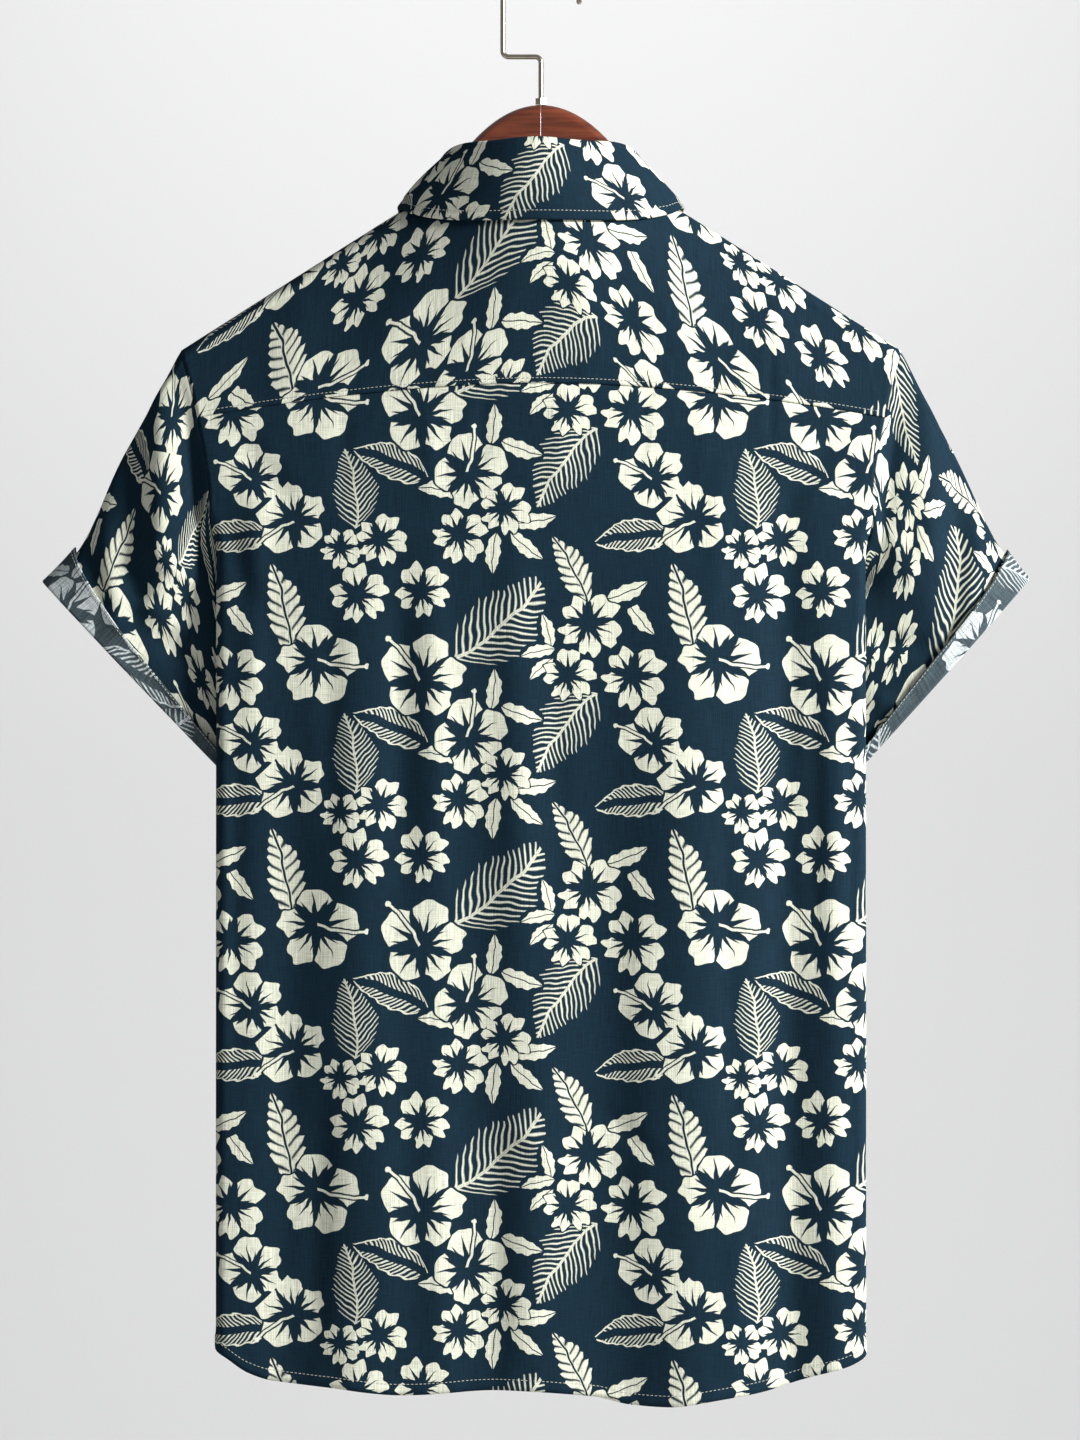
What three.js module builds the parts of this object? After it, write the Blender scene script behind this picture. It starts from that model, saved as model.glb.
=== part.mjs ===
import * as THREE from "three";

// Sizes are in millimetres. The origin is the inside top of the hook, +Z is up,
// the garment's front faces -Y and the wearer's left is +X.

// Cloth and seams
const CLOTH = 1.2; // thickness of every cloth wall, laid inward from its outer face
const SEAM = 0.15; // each panel stops this far short of a seam line
const LIFT = 0.35; // how far a piece lies off the one it rests on

// Shoulder line, the same on both sides
const SHOULDER_X = 88;
const SHOULDER_Z = -163;
const SHOULDER_SLOPE = 0.641;
const SHOULDER_BLEND = 20; // rounds the line's peak at the centre
const SHOULDER_ROUND = 9.5; // radius of the cloth over the shoulder

// Depths of the hanging body
const BACK_DEPTH = 40;
const FRONT_DEPTH = 38;
const SIDE_LOSS = 10; // the depth falls by this much toward the side folds
const DEPTH_RUN = 90; // height over which the depth is reached
const HALF_BODY = 200; // from the centre to a side fold
const NECK_SWELL = { back: 22, front: 16, width: 84, backZ: -156, frontZ: -200, height: 80 };

// Side folds, where the cloth turns inward to the side seam
const FOLD_RADIUS = 7;
const FOLD_X = { low: 200, high: 225, lowZ: -378, highZ: -300 };
const FRONT_FOLD_IN = 2;
const SIDE_SEAM_X = 145;
const SIDE_SEAM_ROUND = 3;
const UNDERARM_Z = -503;

// Neck, yoke and hem
const NECK_HALF = 66;
const NECK_BACK_Z = -156;
const NECK_FRONT_Z = -222;
const YOKE_CENTRE_Z = -271;
const YOKE_DROP = 20;
const YOKE_CORNER_X = 212;
const FRONT_YOKE_Q = -40; // girth below the shoulder line at the front yoke seam
const FRONT_HEM_UP = 4;

// Armhole: distance from the centre along the cloth at each height
const ARMHOLE = [
  { z: -240, s: 225 },
  { z: -249, s: 223 },
  { z: -270, s: 217 },
  { z: -291, s: 212 },
  { z: -316, s: 207 },
  { z: -341, s: 204 },
  { z: -366, s: 206 },
  { z: -390, s: 211 },
  { z: -414, s: 216 },
  { z: -438, s: 223 },
  { z: -460, s: 232 },
  { z: -480, s: 243 },
  { z: -495, s: 255 },
];

// Hem height at each distance along the cloth from the centre, right side negative
const HEM = [
  { s: -266, z: -848 },
  { s: -230, z: -856 },
  { s: -205, z: -865 },
  { s: -188, z: -874 },
  { s: -167, z: -880 },
  { s: -137, z: -889 },
  { s: -107, z: -894 },
  { s: -77, z: -898 },
  { s: -55, z: -897 },
  { s: -32, z: -892 },
  { s: 25, z: -888 },
  { s: 84, z: -891 },
  { s: 125, z: -887 },
  { s: 164, z: -883 },
  { s: 179, z: -878 },
  { s: 194, z: -868 },
  { s: 212, z: -859 },
  { s: 266, z: -848 },
];

// Soft upright folds: place at the top and at the hem, half-width, rise, where each starts and is full
const BACK_FOLDS = [
  { top: 112, low: 112, width: 20, rise: 3.4, start: -320, full: -580 },
  { top: 153, low: 157, width: 17, rise: -3.4, start: -350, full: -620 },
  { top: 44, low: 37, width: 20, rise: -3.2, start: -400, full: -680 },
  { top: -30, low: -42, width: 28, rise: -4.6, start: -330, full: -620 },
  { top: -88, low: -94, width: 28, rise: 5, start: -300, full: -520 },
  { top: -150, low: -152, width: 14, rise: -5.4, start: -285, full: -440 },
];
const FRONT_FOLDS = [
  { top: 120, low: 108, width: 28, rise: 4, start: -330, full: -560 },
  { top: 62, low: 70, width: 20, rise: -4, start: -360, full: -620 },
  { top: -80, low: -96, width: 30, rise: 5, start: -320, full: -540 },
  { top: -140, low: -150, width: 18, rise: -4, start: -380, full: -600 },
];

// Front opening
const OVERLAP = 15;
const UNDER_SET = 2.1; // the right front lies this much further in under the left
const UNDER_RUN = 30;
const PLACKET_CLOTH = 1;
const BUTTON = { radius: 5.5, thick: 2.2, hole: 0.9, holeAt: 1.7, sides: 20, holeSides: 6 };
const BUTTON_HEIGHTS = [-245, -340, -435, -530, -625, -720];

// Sleeves: ends of the flattened hem, how far the top line draws in above the cuff, and the cuff's full width
const SLEEVES = {
  left: { side: 1, tipX: 307, tipZ: -392, lowX: 178, lowZ: -528, drawIn: 8, cuff: 27 },
  right: { side: -1, tipX: 301, tipZ: -390, lowX: 178, lowZ: -528, drawIn: 5, cuff: 22 },
};
const DRAW_IN = { from: 0.4, full: 0.84 };
const HEM_DEPTH = { low: 13, gain: 6 };
const SLEEVE_SAG = 9;
const SLEEVE_ROWS = [0, 0.1, 0.26, 0.46, 0.66, 0.84, 1];
const CUFF = { low: 4, taper: 1.7, gap: 0.3, flare: 1.6, cloth: 1.2 };

// Collar, one turned-down piece
const COLLAR = { end: 172, square: 0.75, lean: 0.91, roll: 2.4, cloth: 1.2, rest: 1.9, base: 1 };
const COLLAR_ROLL_Z = { back: -123.6, side: -134, front: -204 };
const COLLAR_EDGE = { x: 88, backZ: -172.4, sideZ: -163, pointX: 42, pointZ: -262 };

// Hanger
const ARM = { half: 7, under: 2.9, end: 205, arch: 0.0122, archFour: 2e-7, top: -96.5, joint: 0.15 };
const ARM_LOW = { z: -152, slope: 0.62, round: 30 };
const NUT = { radius: 3.9, height: 3.7, gap: 0.3 };
const HOOK = { wire: 1.6, bend: 23.6, centreZ: -22, crankZ: -66.6, crankRound: 3.5, tipZ: -34 };

const group = new THREE.Group();
group.name = "hawaiian_shirt_on_hanger";

const clamp = (v, a, b) => Math.min(b, Math.max(a, v));
const mix = (a, b, t) => a + (b - a) * t;
const smooth = (v, a, b) => {
  const t = clamp((v - a) / (b - a), 0, 1);
  return t * t * (3 - 2 * t);
};

// Monotone cubic through a table with one named key and one named value
function curve(table, key, value) {
  const rows = [...table].sort((a, b) => a[key] - b[key]);
  const xs = rows.map((row) => row[key]);
  const ys = rows.map((row) => row[value]);
  const slopes = xs.slice(1).map((x, i) => (ys[i + 1] - ys[i]) / (x - xs[i]));
  const tangents = xs.map((_, i) => {
    if (i === 0) return slopes[0];
    if (i === xs.length - 1) return slopes[i - 1];
    const a = slopes[i - 1];
    const b = slopes[i];
    return a * b <= 0 ? 0 : (2 * a * b) / (a + b);
  });
  return (x) => {
    let i = 0;
    while (i < xs.length - 2 && x > xs[i + 1]) i += 1;
    const h = xs[i + 1] - xs[i];
    const t = clamp((x - xs[i]) / h, 0, 1);
    const a = (1 + 2 * t) * (1 - t) * (1 - t) * ys[i] + t * (1 - t) * (1 - t) * h * tangents[i];
    return a + t * t * (3 - 2 * t) * ys[i + 1] + t * t * (t - 1) * h * tangents[i + 1];
  };
}

const hemZ = curve(HEM, "s", "z");
const armholeTable = curve(ARMHOLE, "z", "s");

const spread = (x) => Math.sqrt(x * x + SHOULDER_BLEND * SHOULDER_BLEND);
const ridgeZ = (x) => SHOULDER_Z - SHOULDER_SLOPE * (spread(x) - spread(SHOULDER_X));

function foldRise(x, z, folds) {
  let rise = 0;
  for (const f of folds) {
    const t = clamp((f.start - z) / (f.start + 880), 0, 1);
    const across = (x - mix(f.top, f.low, t)) / f.width;
    rise += f.rise * (1 - smooth(z, f.full, f.start)) * Math.exp(-across * across);
  }
  return rise;
}

// Depth of the cloth at a height h below the shoulder line; face is 1 for the back, -1 for the front
function depthAt(x, h, face) {
  if (h <= 0) return 0;
  const wide = clamp(Math.abs(x) / HALF_BODY, 0, 1.1);
  const full = (face > 0 ? BACK_DEPTH : FRONT_DEPTH) - SIDE_LOSS * wide * wide;
  let y = Math.sqrt(Math.max(0, h * (2 * SHOULDER_ROUND - h)));
  if (h > SHOULDER_ROUND) {
    y = SHOULDER_ROUND + (full - SHOULDER_ROUND) * (1 - Math.exp(-(h - SHOULDER_ROUND) / DEPTH_RUN));
  }
  const z = ridgeZ(x) - h;
  const swell = face > 0 ? NECK_SWELL.back : NECK_SWELL.front;
  const swellZ = face > 0 ? NECK_SWELL.backZ : NECK_SWELL.frontZ;
  const up = (z - swellZ) / NECK_SWELL.height;
  const side = x / NECK_SWELL.width;
  y += swell * Math.exp(-side * side - up * up) * (1 - Math.exp(-h / 8));
  return y + foldRise(x, z, face > 0 ? BACK_FOLDS : FRONT_FOLDS);
}

const girthOf = (h) => {
  if (h < SHOULDER_ROUND) return SHOULDER_ROUND * Math.acos(clamp(1 - h / SHOULDER_ROUND, -1, 1));
  return (SHOULDER_ROUND * Math.PI) / 2 + h - SHOULDER_ROUND;
};
const dropOf = (q) => {
  const a = Math.abs(q);
  const turn = (SHOULDER_ROUND * Math.PI) / 2;
  return a < turn ? SHOULDER_ROUND * (1 - Math.cos(a / SHOULDER_ROUND)) : SHOULDER_ROUND + a - turn;
};

// A point over the shoulders: x across, q the girth from the shoulder line, back positive
function shoulderPoint(x, q) {
  const h = dropOf(q);
  const face = q >= 0 ? 1 : -1;
  return new THREE.Vector3(x, face * depthAt(x, h, face), ridgeZ(x) - h);
}

function shoulderNormal(x, q) {
  const a = shoulderPoint(x + 0.5, q).sub(shoulderPoint(x - 0.5, q));
  const b = shoulderPoint(x, q - 0.5).sub(shoulderPoint(x, q + 0.5));
  return new THREE.Vector3().crossVectors(b, a).normalize();
}

const foldXAt = (z, face) => {
  const x = mix(FOLD_X.low, FOLD_X.high, smooth(z, FOLD_X.lowZ, FOLD_X.highZ));
  return face > 0 ? x : x - FRONT_FOLD_IN;
};

// Landmarks of one level of the body: end of the flat part, inner line, side seam
function level(z, side, face) {
  const flat = foldXAt(z, face) - FOLD_RADIUS;
  const y = depthAt(side * flat, ridgeZ(flat) - z, face);
  const inner = y - 2 * FOLD_RADIUS;
  const lineX = SIDE_SEAM_X + SIDE_SEAM_ROUND - flat;
  const lineY = SIDE_SEAM_ROUND - inner;
  const line = Math.hypot(lineX, lineY);
  const turned = flat + Math.PI * FOLD_RADIUS;
  const seam = turned + line + (SIDE_SEAM_ROUND * Math.PI) / 2;
  return { flat, y, inner, lineX, lineY, line, turned, seam };
}

// A point of the body: s along the cloth from the centre, z the height
function bodyPoint(s, z, face) {
  const side = s < 0 ? -1 : 1;
  const a = Math.abs(s);
  const at = level(z, side, face);
  let x = a;
  let y = 0;
  if (a <= at.flat) {
    y = depthAt(s, ridgeZ(s) - z, face);
  } else if (a <= at.turned) {
    const turn = (a - at.flat) / FOLD_RADIUS;
    x = at.flat + FOLD_RADIUS * Math.sin(turn);
    y = at.y - FOLD_RADIUS + FOLD_RADIUS * Math.cos(turn);
  } else if (a <= at.turned + at.line) {
    const t = (a - at.turned) / at.line;
    x = at.flat + at.lineX * t;
    y = at.inner + at.lineY * t;
  } else {
    const turn = clamp((a - at.turned - at.line) / SIDE_SEAM_ROUND, 0, Math.PI / 2);
    x = SIDE_SEAM_X + SIDE_SEAM_ROUND - SIDE_SEAM_ROUND * Math.sin(turn);
    y = SIDE_SEAM_ROUND * Math.cos(turn);
  }
  return new THREE.Vector3(side * x, face * y, z);
}

// Where a panel's side edge runs: the armhole above the underarm, the side seam below
function edgeAt(z, side, face) {
  const seam = level(z, side, face).seam;
  if (z <= UNDERARM_Z) return seam;
  const low = ARMHOLE[ARMHOLE.length - 1].z;
  if (z < low) return mix(armholeTable(low), seam, smooth(z, low, UNDERARM_Z));
  return armholeTable(z);
}

// Outward direction at each point of a grid, from its neighbours
function normals(grid, closed, flip) {
  const rows = grid.length;
  const cols = grid[0].length;
  const a = new THREE.Vector3();
  const b = new THREE.Vector3();
  return grid.map((row, j) =>
    row.map((_, i) => {
      const left = closed ? (i + cols - 1) % cols : Math.max(0, i - 1);
      const right = closed ? (i + 1) % cols : Math.min(cols - 1, i + 1);
      a.subVectors(row[right], row[left]);
      b.subVectors(grid[Math.min(rows - 1, j + 1)][i], grid[Math.max(0, j - 1)][i]);
      const n = new THREE.Vector3().crossVectors(a, b).normalize();
      return flip ? n.negate() : n;
    }),
  );
}

// The grid laid inward; where the first row meets a neighbour nearly in line, it takes the neighbour's direction
const IN_LINE = 0.3;
function inward(grid, thickness, closed, flip, first) {
  const n = normals(grid, closed, flip);
  if (first) n[0] = n[0].map((own, i) => (own.dot(first[i]) > IN_LINE ? first[i] : own));
  return grid.map((row, j) => row.map((p, i) => p.clone().addScaledVector(n[j][i], -thickness)));
}

function solidFrom(points, faces) {
  const geometry = new THREE.BufferGeometry();
  geometry.setAttribute("position", new THREE.Float32BufferAttribute(points.flatMap((p) => [p.x, p.y, p.z]), 3));
  geometry.setIndex(faces);
  geometry.computeVertexNormals();
  return geometry;
}

// A closed wall: the grid is its outer face, thickness goes inward
function wall(grid, thickness, closed = false, flip = false, first = null) {
  const rows = grid.length;
  const cols = grid[0].length;
  const inner = inward(grid, thickness, closed, flip, first);
  const points = [...grid.flat(), ...inner.flat()];
  const half = rows * cols;
  const faces = [];
  const quad = (a, b, c, d) => {
    if (flip) faces.push(a, c, b, a, d, c);
    else faces.push(a, b, c, a, c, d);
  };
  const last = closed ? cols : cols - 1;
  for (let j = 0; j < rows - 1; j += 1) {
    for (let i = 0; i < last; i += 1) {
      const k = (i + 1) % cols;
      quad(j * cols + i, j * cols + k, (j + 1) * cols + k, (j + 1) * cols + i);
      quad(half + j * cols + i, half + (j + 1) * cols + i, half + (j + 1) * cols + k, half + j * cols + k);
    }
  }
  for (let i = 0; i < last; i += 1) {
    const k = (i + 1) % cols;
    const top = (rows - 1) * cols;
    quad(i, half + i, half + k, k);
    quad(top + i, top + k, half + top + k, half + top + i);
  }
  if (!closed) {
    for (let j = 0; j < rows - 1; j += 1) {
      const right = cols - 1;
      quad(j * cols, (j + 1) * cols, half + (j + 1) * cols, half + j * cols);
      quad(j * cols + right, half + j * cols + right, half + (j + 1) * cols + right, (j + 1) * cols + right);
    }
  }
  return solidFrom(points, faces);
}

function add(name, geometry, color, roughness = 0.9, metalness = 0) {
  const mesh = new THREE.Mesh(geometry, new THREE.MeshStandardMaterial({ color, roughness, metalness }));
  mesh.name = name;
  group.add(mesh);
  return mesh;
}

const NAVY = 0x1d2f3b;
const CUFF_GREY = 0x50595b;
const BUTTON_NAVY = 0x20303a;
const WOOD = 0x732f16;
const WIRE = 0xbcb3a2;

const yokeSeamZ = (x) => YOKE_CENTRE_Z - YOKE_DROP * (Math.abs(x) / YOKE_CORNER_X) ** 1.8;

// Heights down a panel's side edge, from its top corner to the hem
const ARM_LEVELS = [-366, -390, -414, -438, -460, -480, -495, UNDERARM_Z];
const BACK_TOP_Z = yokeSeamZ(YOKE_CORNER_X) - SEAM;
const SIDE_HEM_Z = -848;
function levels(top, upper, lower, bottom) {
  const list = [];
  for (let i = 0; i < upper; i += 1) list.push(mix(top, ARM_LEVELS[0], i / upper));
  list.push(...ARM_LEVELS);
  for (let i = 1; i <= lower; i += 1) list.push(mix(UNDERARM_Z, bottom, i / lower));
  return list;
}
const BACK_LEVELS = levels(BACK_TOP_Z, 3, 12, SIDE_HEM_Z);

// Columns of a half panel: even over the flat part, then shares round the fold to the edge
const FOLD_SHARES = [0.05, 0.1, 0.15, 0.2, 0.25, 0.306, 0.5, 0.75, 0.93, 0.965, 1];
const SHORT_EDGE = 215;
const LONG_EDGE = 265;
function columnAt(index, flatCount, shares, z, side, face, start) {
  const edge = edgeAt(z, side, face) - SEAM;
  const flat = Math.min(level(z, side, face).flat, edge * 0.92);
  if (index <= flatCount) return mix(start, flat, index / flatCount);
  const k = index - flatCount - 1;
  const even = (k + 1) / shares.length;
  const share = mix(even, shares[k], clamp((edge - SHORT_EDGE) / (LONG_EDGE - SHORT_EDGE), 0, 1));
  return mix(flat, edge, share);
}

// Back panel, from the yoke seam to the hem, folded in at both sides
const BACK_FLAT = 17;
const backColumns = [];
for (let i = -(BACK_FLAT + FOLD_SHARES.length); i <= BACK_FLAT + FOLD_SHARES.length; i += 1) backColumns.push(i);
function backSpot(column, down) {
  const side = column < 0 ? -1 : 1;
  const edgeZ = mix(BACK_TOP_Z, SIDE_HEM_Z, down);
  const s = columnAt(Math.abs(column), BACK_FLAT, FOLD_SHARES, edgeZ, side, 1, 0);
  const across = s / (edgeAt(edgeZ, side, 1) - SEAM);
  const z = mix(yokeSeamZ(across * YOKE_CORNER_X) - SEAM, hemZ(side * across * LONG_EDGE), down);
  return { s: side * s, z };
}
const backGrid = BACK_LEVELS.map((z) => {
  const down = (BACK_TOP_Z - z) / (BACK_TOP_Z - SIDE_HEM_Z);
  return backColumns.map((column) => {
    const spot = backSpot(column, down);
    return bodyPoint(spot.s, spot.z, 1);
  });
});
add("back_panel", wall(backGrid, CLOTH), NAVY);

// Neckline: distance across and height at an angle from the centre back
const DEG = Math.PI / 180;
function neckSpot(angle) {
  const x = NECK_HALF * Math.sin(angle);
  const c = Math.cos(angle);
  const sideZ = ridgeZ(NECK_HALF);
  const z = sideZ + (c >= 0 ? NECK_BACK_Z - sideZ : NECK_FRONT_Z - sideZ) * c * c;
  const q = girthOf(Math.max(0, ridgeZ(x) - z));
  return { x, z, q: c >= 0 ? q : -q };
}

// The angle at which the neckline reaches a given girth on the front
function neckAngleFor(q) {
  let low = 90 * DEG;
  let high = 179 * DEG;
  for (let i = 0; i < 40; i += 1) {
    const middle = (low + high) / 2;
    if (neckSpot(middle).q > q) low = middle;
    else high = middle;
  }
  return (low + high) / 2;
}

function armholeSpot(q) {
  let x = YOKE_CORNER_X;
  for (let i = 0; i < 12; i += 1) x = armholeTable(ridgeZ(x) - dropOf(q));
  return { x, q };
}

const backCornerQ = girthOf(ridgeZ(YOKE_CORNER_X) - yokeSeamZ(YOKE_CORNER_X));
const YOKE_ARM_QS = [FRONT_YOKE_Q, -26, -15, -9.5, -4.5, 0, 4.5, 9.5, 15, 26, 40, backCornerQ];

// Yoke, over both shoulders from one front seam to the other
const YOKE_ACROSS = [0, 0.12, 0.3, 0.5, 0.7, 0.88, 1];
const YOKE_SEAM_STEPS = 12;
const neckFrontAngle = neckAngleFor(FRONT_YOKE_Q);
const yokeRays = [];
YOKE_ARM_QS.forEach((q, i) => {
  const share = i / (YOKE_ARM_QS.length - 1);
  const outer = armholeSpot(i === 0 ? q + SEAM : q);
  yokeRays.push({ angle: mix(neckFrontAngle, 58 * DEG, share), x: outer.x - SEAM, q: outer.q });
});
yokeRays[yokeRays.length - 1].q -= SEAM;
for (let i = 1; i <= YOKE_SEAM_STEPS; i += 1) {
  const x = YOKE_CORNER_X * (1 - i / YOKE_SEAM_STEPS);
  const q = girthOf(ridgeZ(x) - yokeSeamZ(x)) - SEAM;
  yokeRays.push({ angle: 58 * DEG * (1 - i / YOKE_SEAM_STEPS), x, q });
}
const yokeRow = (ray, side) => {
  const neck = neckSpot(ray.angle);
  const neckQ = ray === yokeRays[0] ? neck.q + SEAM : neck.q;
  return YOKE_ACROSS.map((t) => shoulderPoint(side * mix(neck.x, ray.x, t), mix(neckQ, ray.q, t)));
};
const yokeGrid = [
  ...yokeRays.map((ray) => yokeRow(ray, 1)),
  ...yokeRays.slice(0, -1).reverse().map((ray) => yokeRow(ray, -1)),
];
add("yoke", wall(yokeGrid, CLOTH), NAVY);

// Fronts, from the front yoke seam and neckline to the hem
const frontCornerX = armholeSpot(FRONT_YOKE_Q).x;
const FRONT_TOP_Z = ridgeZ(frontCornerX) - dropOf(FRONT_YOKE_Q) - SEAM;
const FRONT_LEVELS = levels(FRONT_TOP_Z, 4, 9, SIDE_HEM_Z + FRONT_HEM_UP);
const FRONT_SHARES = [0.06, 0.13, 0.2, 0.306, 0.6, 0.93, 1];
const FRONT_FLAT = 15;
const neckSeamX = neckSpot(neckFrontAngle).x;
function frontTopZ(x) {
  const a = Math.abs(x);
  if (a < neckSeamX) {
    const across = a / NECK_HALF;
    return mix(NECK_FRONT_Z, ridgeZ(NECK_HALF), across * across);
  }
  return ridgeZ(a) - dropOf(FRONT_YOKE_Q) - SEAM;
}
function frontPoint(index, down, side) {
  const edgeZ = mix(FRONT_TOP_Z, SIDE_HEM_Z + FRONT_HEM_UP, down);
  const s = columnAt(index, FRONT_FLAT, FRONT_SHARES, edgeZ, side, -1, -OVERLAP);
  const across = s / (edgeAt(edgeZ, side, -1) - SEAM);
  const z = mix(frontTopZ(across * (frontCornerX - SEAM)), hemZ(side * across * LONG_EDGE) + FRONT_HEM_UP, down);
  const point = bodyPoint(side * s, z, -1);
  if (side < 0) point.y += UNDER_SET * (1 - smooth(s, OVERLAP, OVERLAP + UNDER_RUN));
  return point;
}
const frontDowns = FRONT_LEVELS.map((z) => (FRONT_TOP_Z - z) / (FRONT_TOP_Z - FRONT_LEVELS[FRONT_LEVELS.length - 1]));
const frontIndexes = [];
for (let i = 0; i <= FRONT_FLAT + FRONT_SHARES.length; i += 1) frontIndexes.push(i);
const frontGrid = (side) => frontDowns.map((down) => frontIndexes.map((i) => frontPoint(i, down, side)));
const frontLeftGrid = frontGrid(1);
const frontRightGrid = frontGrid(-1);
add("front_left", wall(frontLeftGrid, CLOTH, false, true), NAVY);
add("front_right", wall(frontRightGrid, CLOTH), NAVY);

// Placket, a band on the left front's outer face, and the buttons on it
const frontFace = (x, z) => new THREE.Vector3(x, -depthAt(x, ridgeZ(x) - z, -1), z);
const PLACKET_COLUMNS = [-OVERLAP, -5, 5, OVERLAP];
const placketGrid = frontDowns.map((down) =>
  PLACKET_COLUMNS.map((x) => {
    const z = mix(NECK_FRONT_Z - 0.6, hemZ(x) + FRONT_HEM_UP, down);
    return frontFace(x, z).add(new THREE.Vector3(0, -LIFT - PLACKET_CLOTH - 0.25, 0));
  }),
);
add("placket", wall(placketGrid, PLACKET_CLOTH, false, true), NAVY);

function buttonShape() {
  const shape = new THREE.Shape();
  for (let i = 0; i < BUTTON.sides; i += 1) {
    const a = (2 * Math.PI * i) / BUTTON.sides;
    shape[i ? "lineTo" : "moveTo"](BUTTON.radius * Math.cos(a), BUTTON.radius * Math.sin(a));
  }
  shape.closePath();
  for (let k = 0; k < 4; k += 1) {
    const hole = new THREE.Path();
    const centre = Math.PI / 4 + (Math.PI / 2) * k;
    for (let i = 0; i < BUTTON.holeSides; i += 1) {
      const a = (2 * Math.PI * i) / BUTTON.holeSides;
      const x = BUTTON.holeAt * Math.cos(centre) + BUTTON.hole * Math.cos(a);
      const y = BUTTON.holeAt * Math.sin(centre) + BUTTON.hole * Math.sin(a);
      hole[i ? "lineTo" : "moveTo"](x, y);
    }
    hole.closePath();
    shape.holes.push(hole);
  }
  return shape;
}
BUTTON_HEIGHTS.forEach((z, i) => {
  const geometry = new THREE.ExtrudeGeometry(buttonShape(), { depth: BUTTON.thick, bevelEnabled: false });
  geometry.rotateX(Math.PI / 2);
  const reach = Math.max(depthAt(0, ridgeZ(0) - z - 6, -1), depthAt(0, ridgeZ(0) - z + 6, -1));
  geometry.translate(0, -reach - PLACKET_CLOTH - 3 * LIFT, z);
  add(`button_${i + 1}`, geometry, BUTTON_NAVY, 0.4);
});

// Sleeves: a tube from the armhole ring to a flattened hem ring
function armholeRing(side) {
  const ring = [];
  const put = (p, n) => ring.push({ p, n });
  const probe = (s, z, face) => {
    const p = bodyPoint(side * s, z, face);
    const a = bodyPoint(side * (s + 0.5), z, face).sub(bodyPoint(side * (s - 0.5), z, face));
    const b = bodyPoint(side * s, z - 0.5, face).sub(bodyPoint(side * s, z + 0.5, face));
    const n = new THREE.Vector3().crossVectors(a, b).normalize();
    if (side * face < 0) n.negate();
    put(p, n);
  };
  const under = bodyPoint(side * level(UNDERARM_Z, side, 1).seam, UNDERARM_Z, 1);
  put(new THREE.Vector3(under.x, 0, under.z), new THREE.Vector3(side, 0, 0));
  BACK_LEVELS.filter((z) => z > UNDERARM_Z)
    .reverse()
    .forEach((z) => probe(edgeAt(z, side, 1), z, 1));
  [...YOKE_ARM_QS]
    .slice(1, -1)
    .reverse()
    .forEach((q) => {
      const spot = armholeSpot(q);
      const p = shoulderPoint(side * spot.x, spot.q);
      put(p, shoulderNormal(side * spot.x, spot.q));
    });
  FRONT_LEVELS.filter((z) => z > UNDERARM_Z).forEach((z) => probe(edgeAt(z, side, -1), z, -1));
  return ring;
}

function ringShares(ring) {
  const lengths = [0];
  ring.forEach((spot, i) => {
    const next = ring[(i + 1) % ring.length];
    lengths.push(lengths[i] + spot.p.distanceTo(next.p));
  });
  const top = ring.reduce((best, spot, i) => (spot.p.z > ring[best].p.z ? i : best), 0);
  const whole = lengths[ring.length];
  return ring.map((_, i) =>
    i <= top ? (0.5 * lengths[i]) / lengths[top] : 0.5 + (0.5 * (lengths[i] - lengths[top])) / (whole - lengths[top]),
  );
}

function hemRingPoint(sleeve, share) {
  const turn = Math.PI * (1 - 2 * share);
  const along = (1 + Math.cos(turn)) / 2;
  const depth = (HEM_DEPTH.low + HEM_DEPTH.gain * along) * Math.sin(turn);
  const x = mix(sleeve.lowX, sleeve.tipX, along);
  return new THREE.Vector3(sleeve.side * x, depth, mix(sleeve.lowZ, sleeve.tipZ, along));
}

function sleeveGrid(sleeve, rows) {
  const ring = armholeRing(sleeve.side);
  const shares = ringShares(ring);
  return rows.map((v) =>
    ring.map((spot, i) => {
      const top = 1 - Math.abs(2 * shares[i] - 1);
      const drawn = smooth(v, DRAW_IN.from, DRAW_IN.full) * clamp((1 - v) / (1 - DRAW_IN.full), 0, 1);
      const end = hemRingPoint(sleeve, shares[i]);
      const out = new THREE.Vector3().subVectors(end, spot.p).normalize();
      const start = spot.p.clone().addScaledVector(spot.n, LIFT).addScaledVector(out, 2 * SEAM);
      const middle = start.clone().add(end).multiplyScalar(0.5);
      middle.z -= SLEEVE_SAG * top ** 2;
      start
        .multiplyScalar((1 - v) * (1 - v))
        .addScaledVector(middle, 2 * v * (1 - v))
        .addScaledVector(end, v * v);
      start.x -= sleeve.side * sleeve.drawIn * drawn * top ** 3;
      return start;
    }),
  );
}

// Cuff: a turned-up band round the sleeve's hem, wide at the tip
function cuffGrid(sleeve) {
  const grid = sleeveGrid(sleeve, SLEEVE_ROWS);
  const n = normals(grid, true, sleeve.side < 0);
  const last = grid.length - 1;
  const shares = ringShares(armholeRing(sleeve.side));
  return [0, 0.5, 1].map((t) =>
    grid[last].map((p, i) => {
      const share = 1 - Math.abs(2 * shares[i] - 1);
      const width = mix(CUFF.low, sleeve.cuff, share ** CUFF.taper);
      const back = new THREE.Vector3().subVectors(grid[last - 1][i], p);
      const room = back.length();
      const off = CUFF.gap + CUFF.cloth + CUFF.flare * (1 - t) * 0.5 + 0.25;
      return p
        .clone()
        .addScaledVector(back, Math.min(0.95, (width * (1 - t)) / room))
        .addScaledVector(n[last][i], off);
    }),
  );
}

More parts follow.
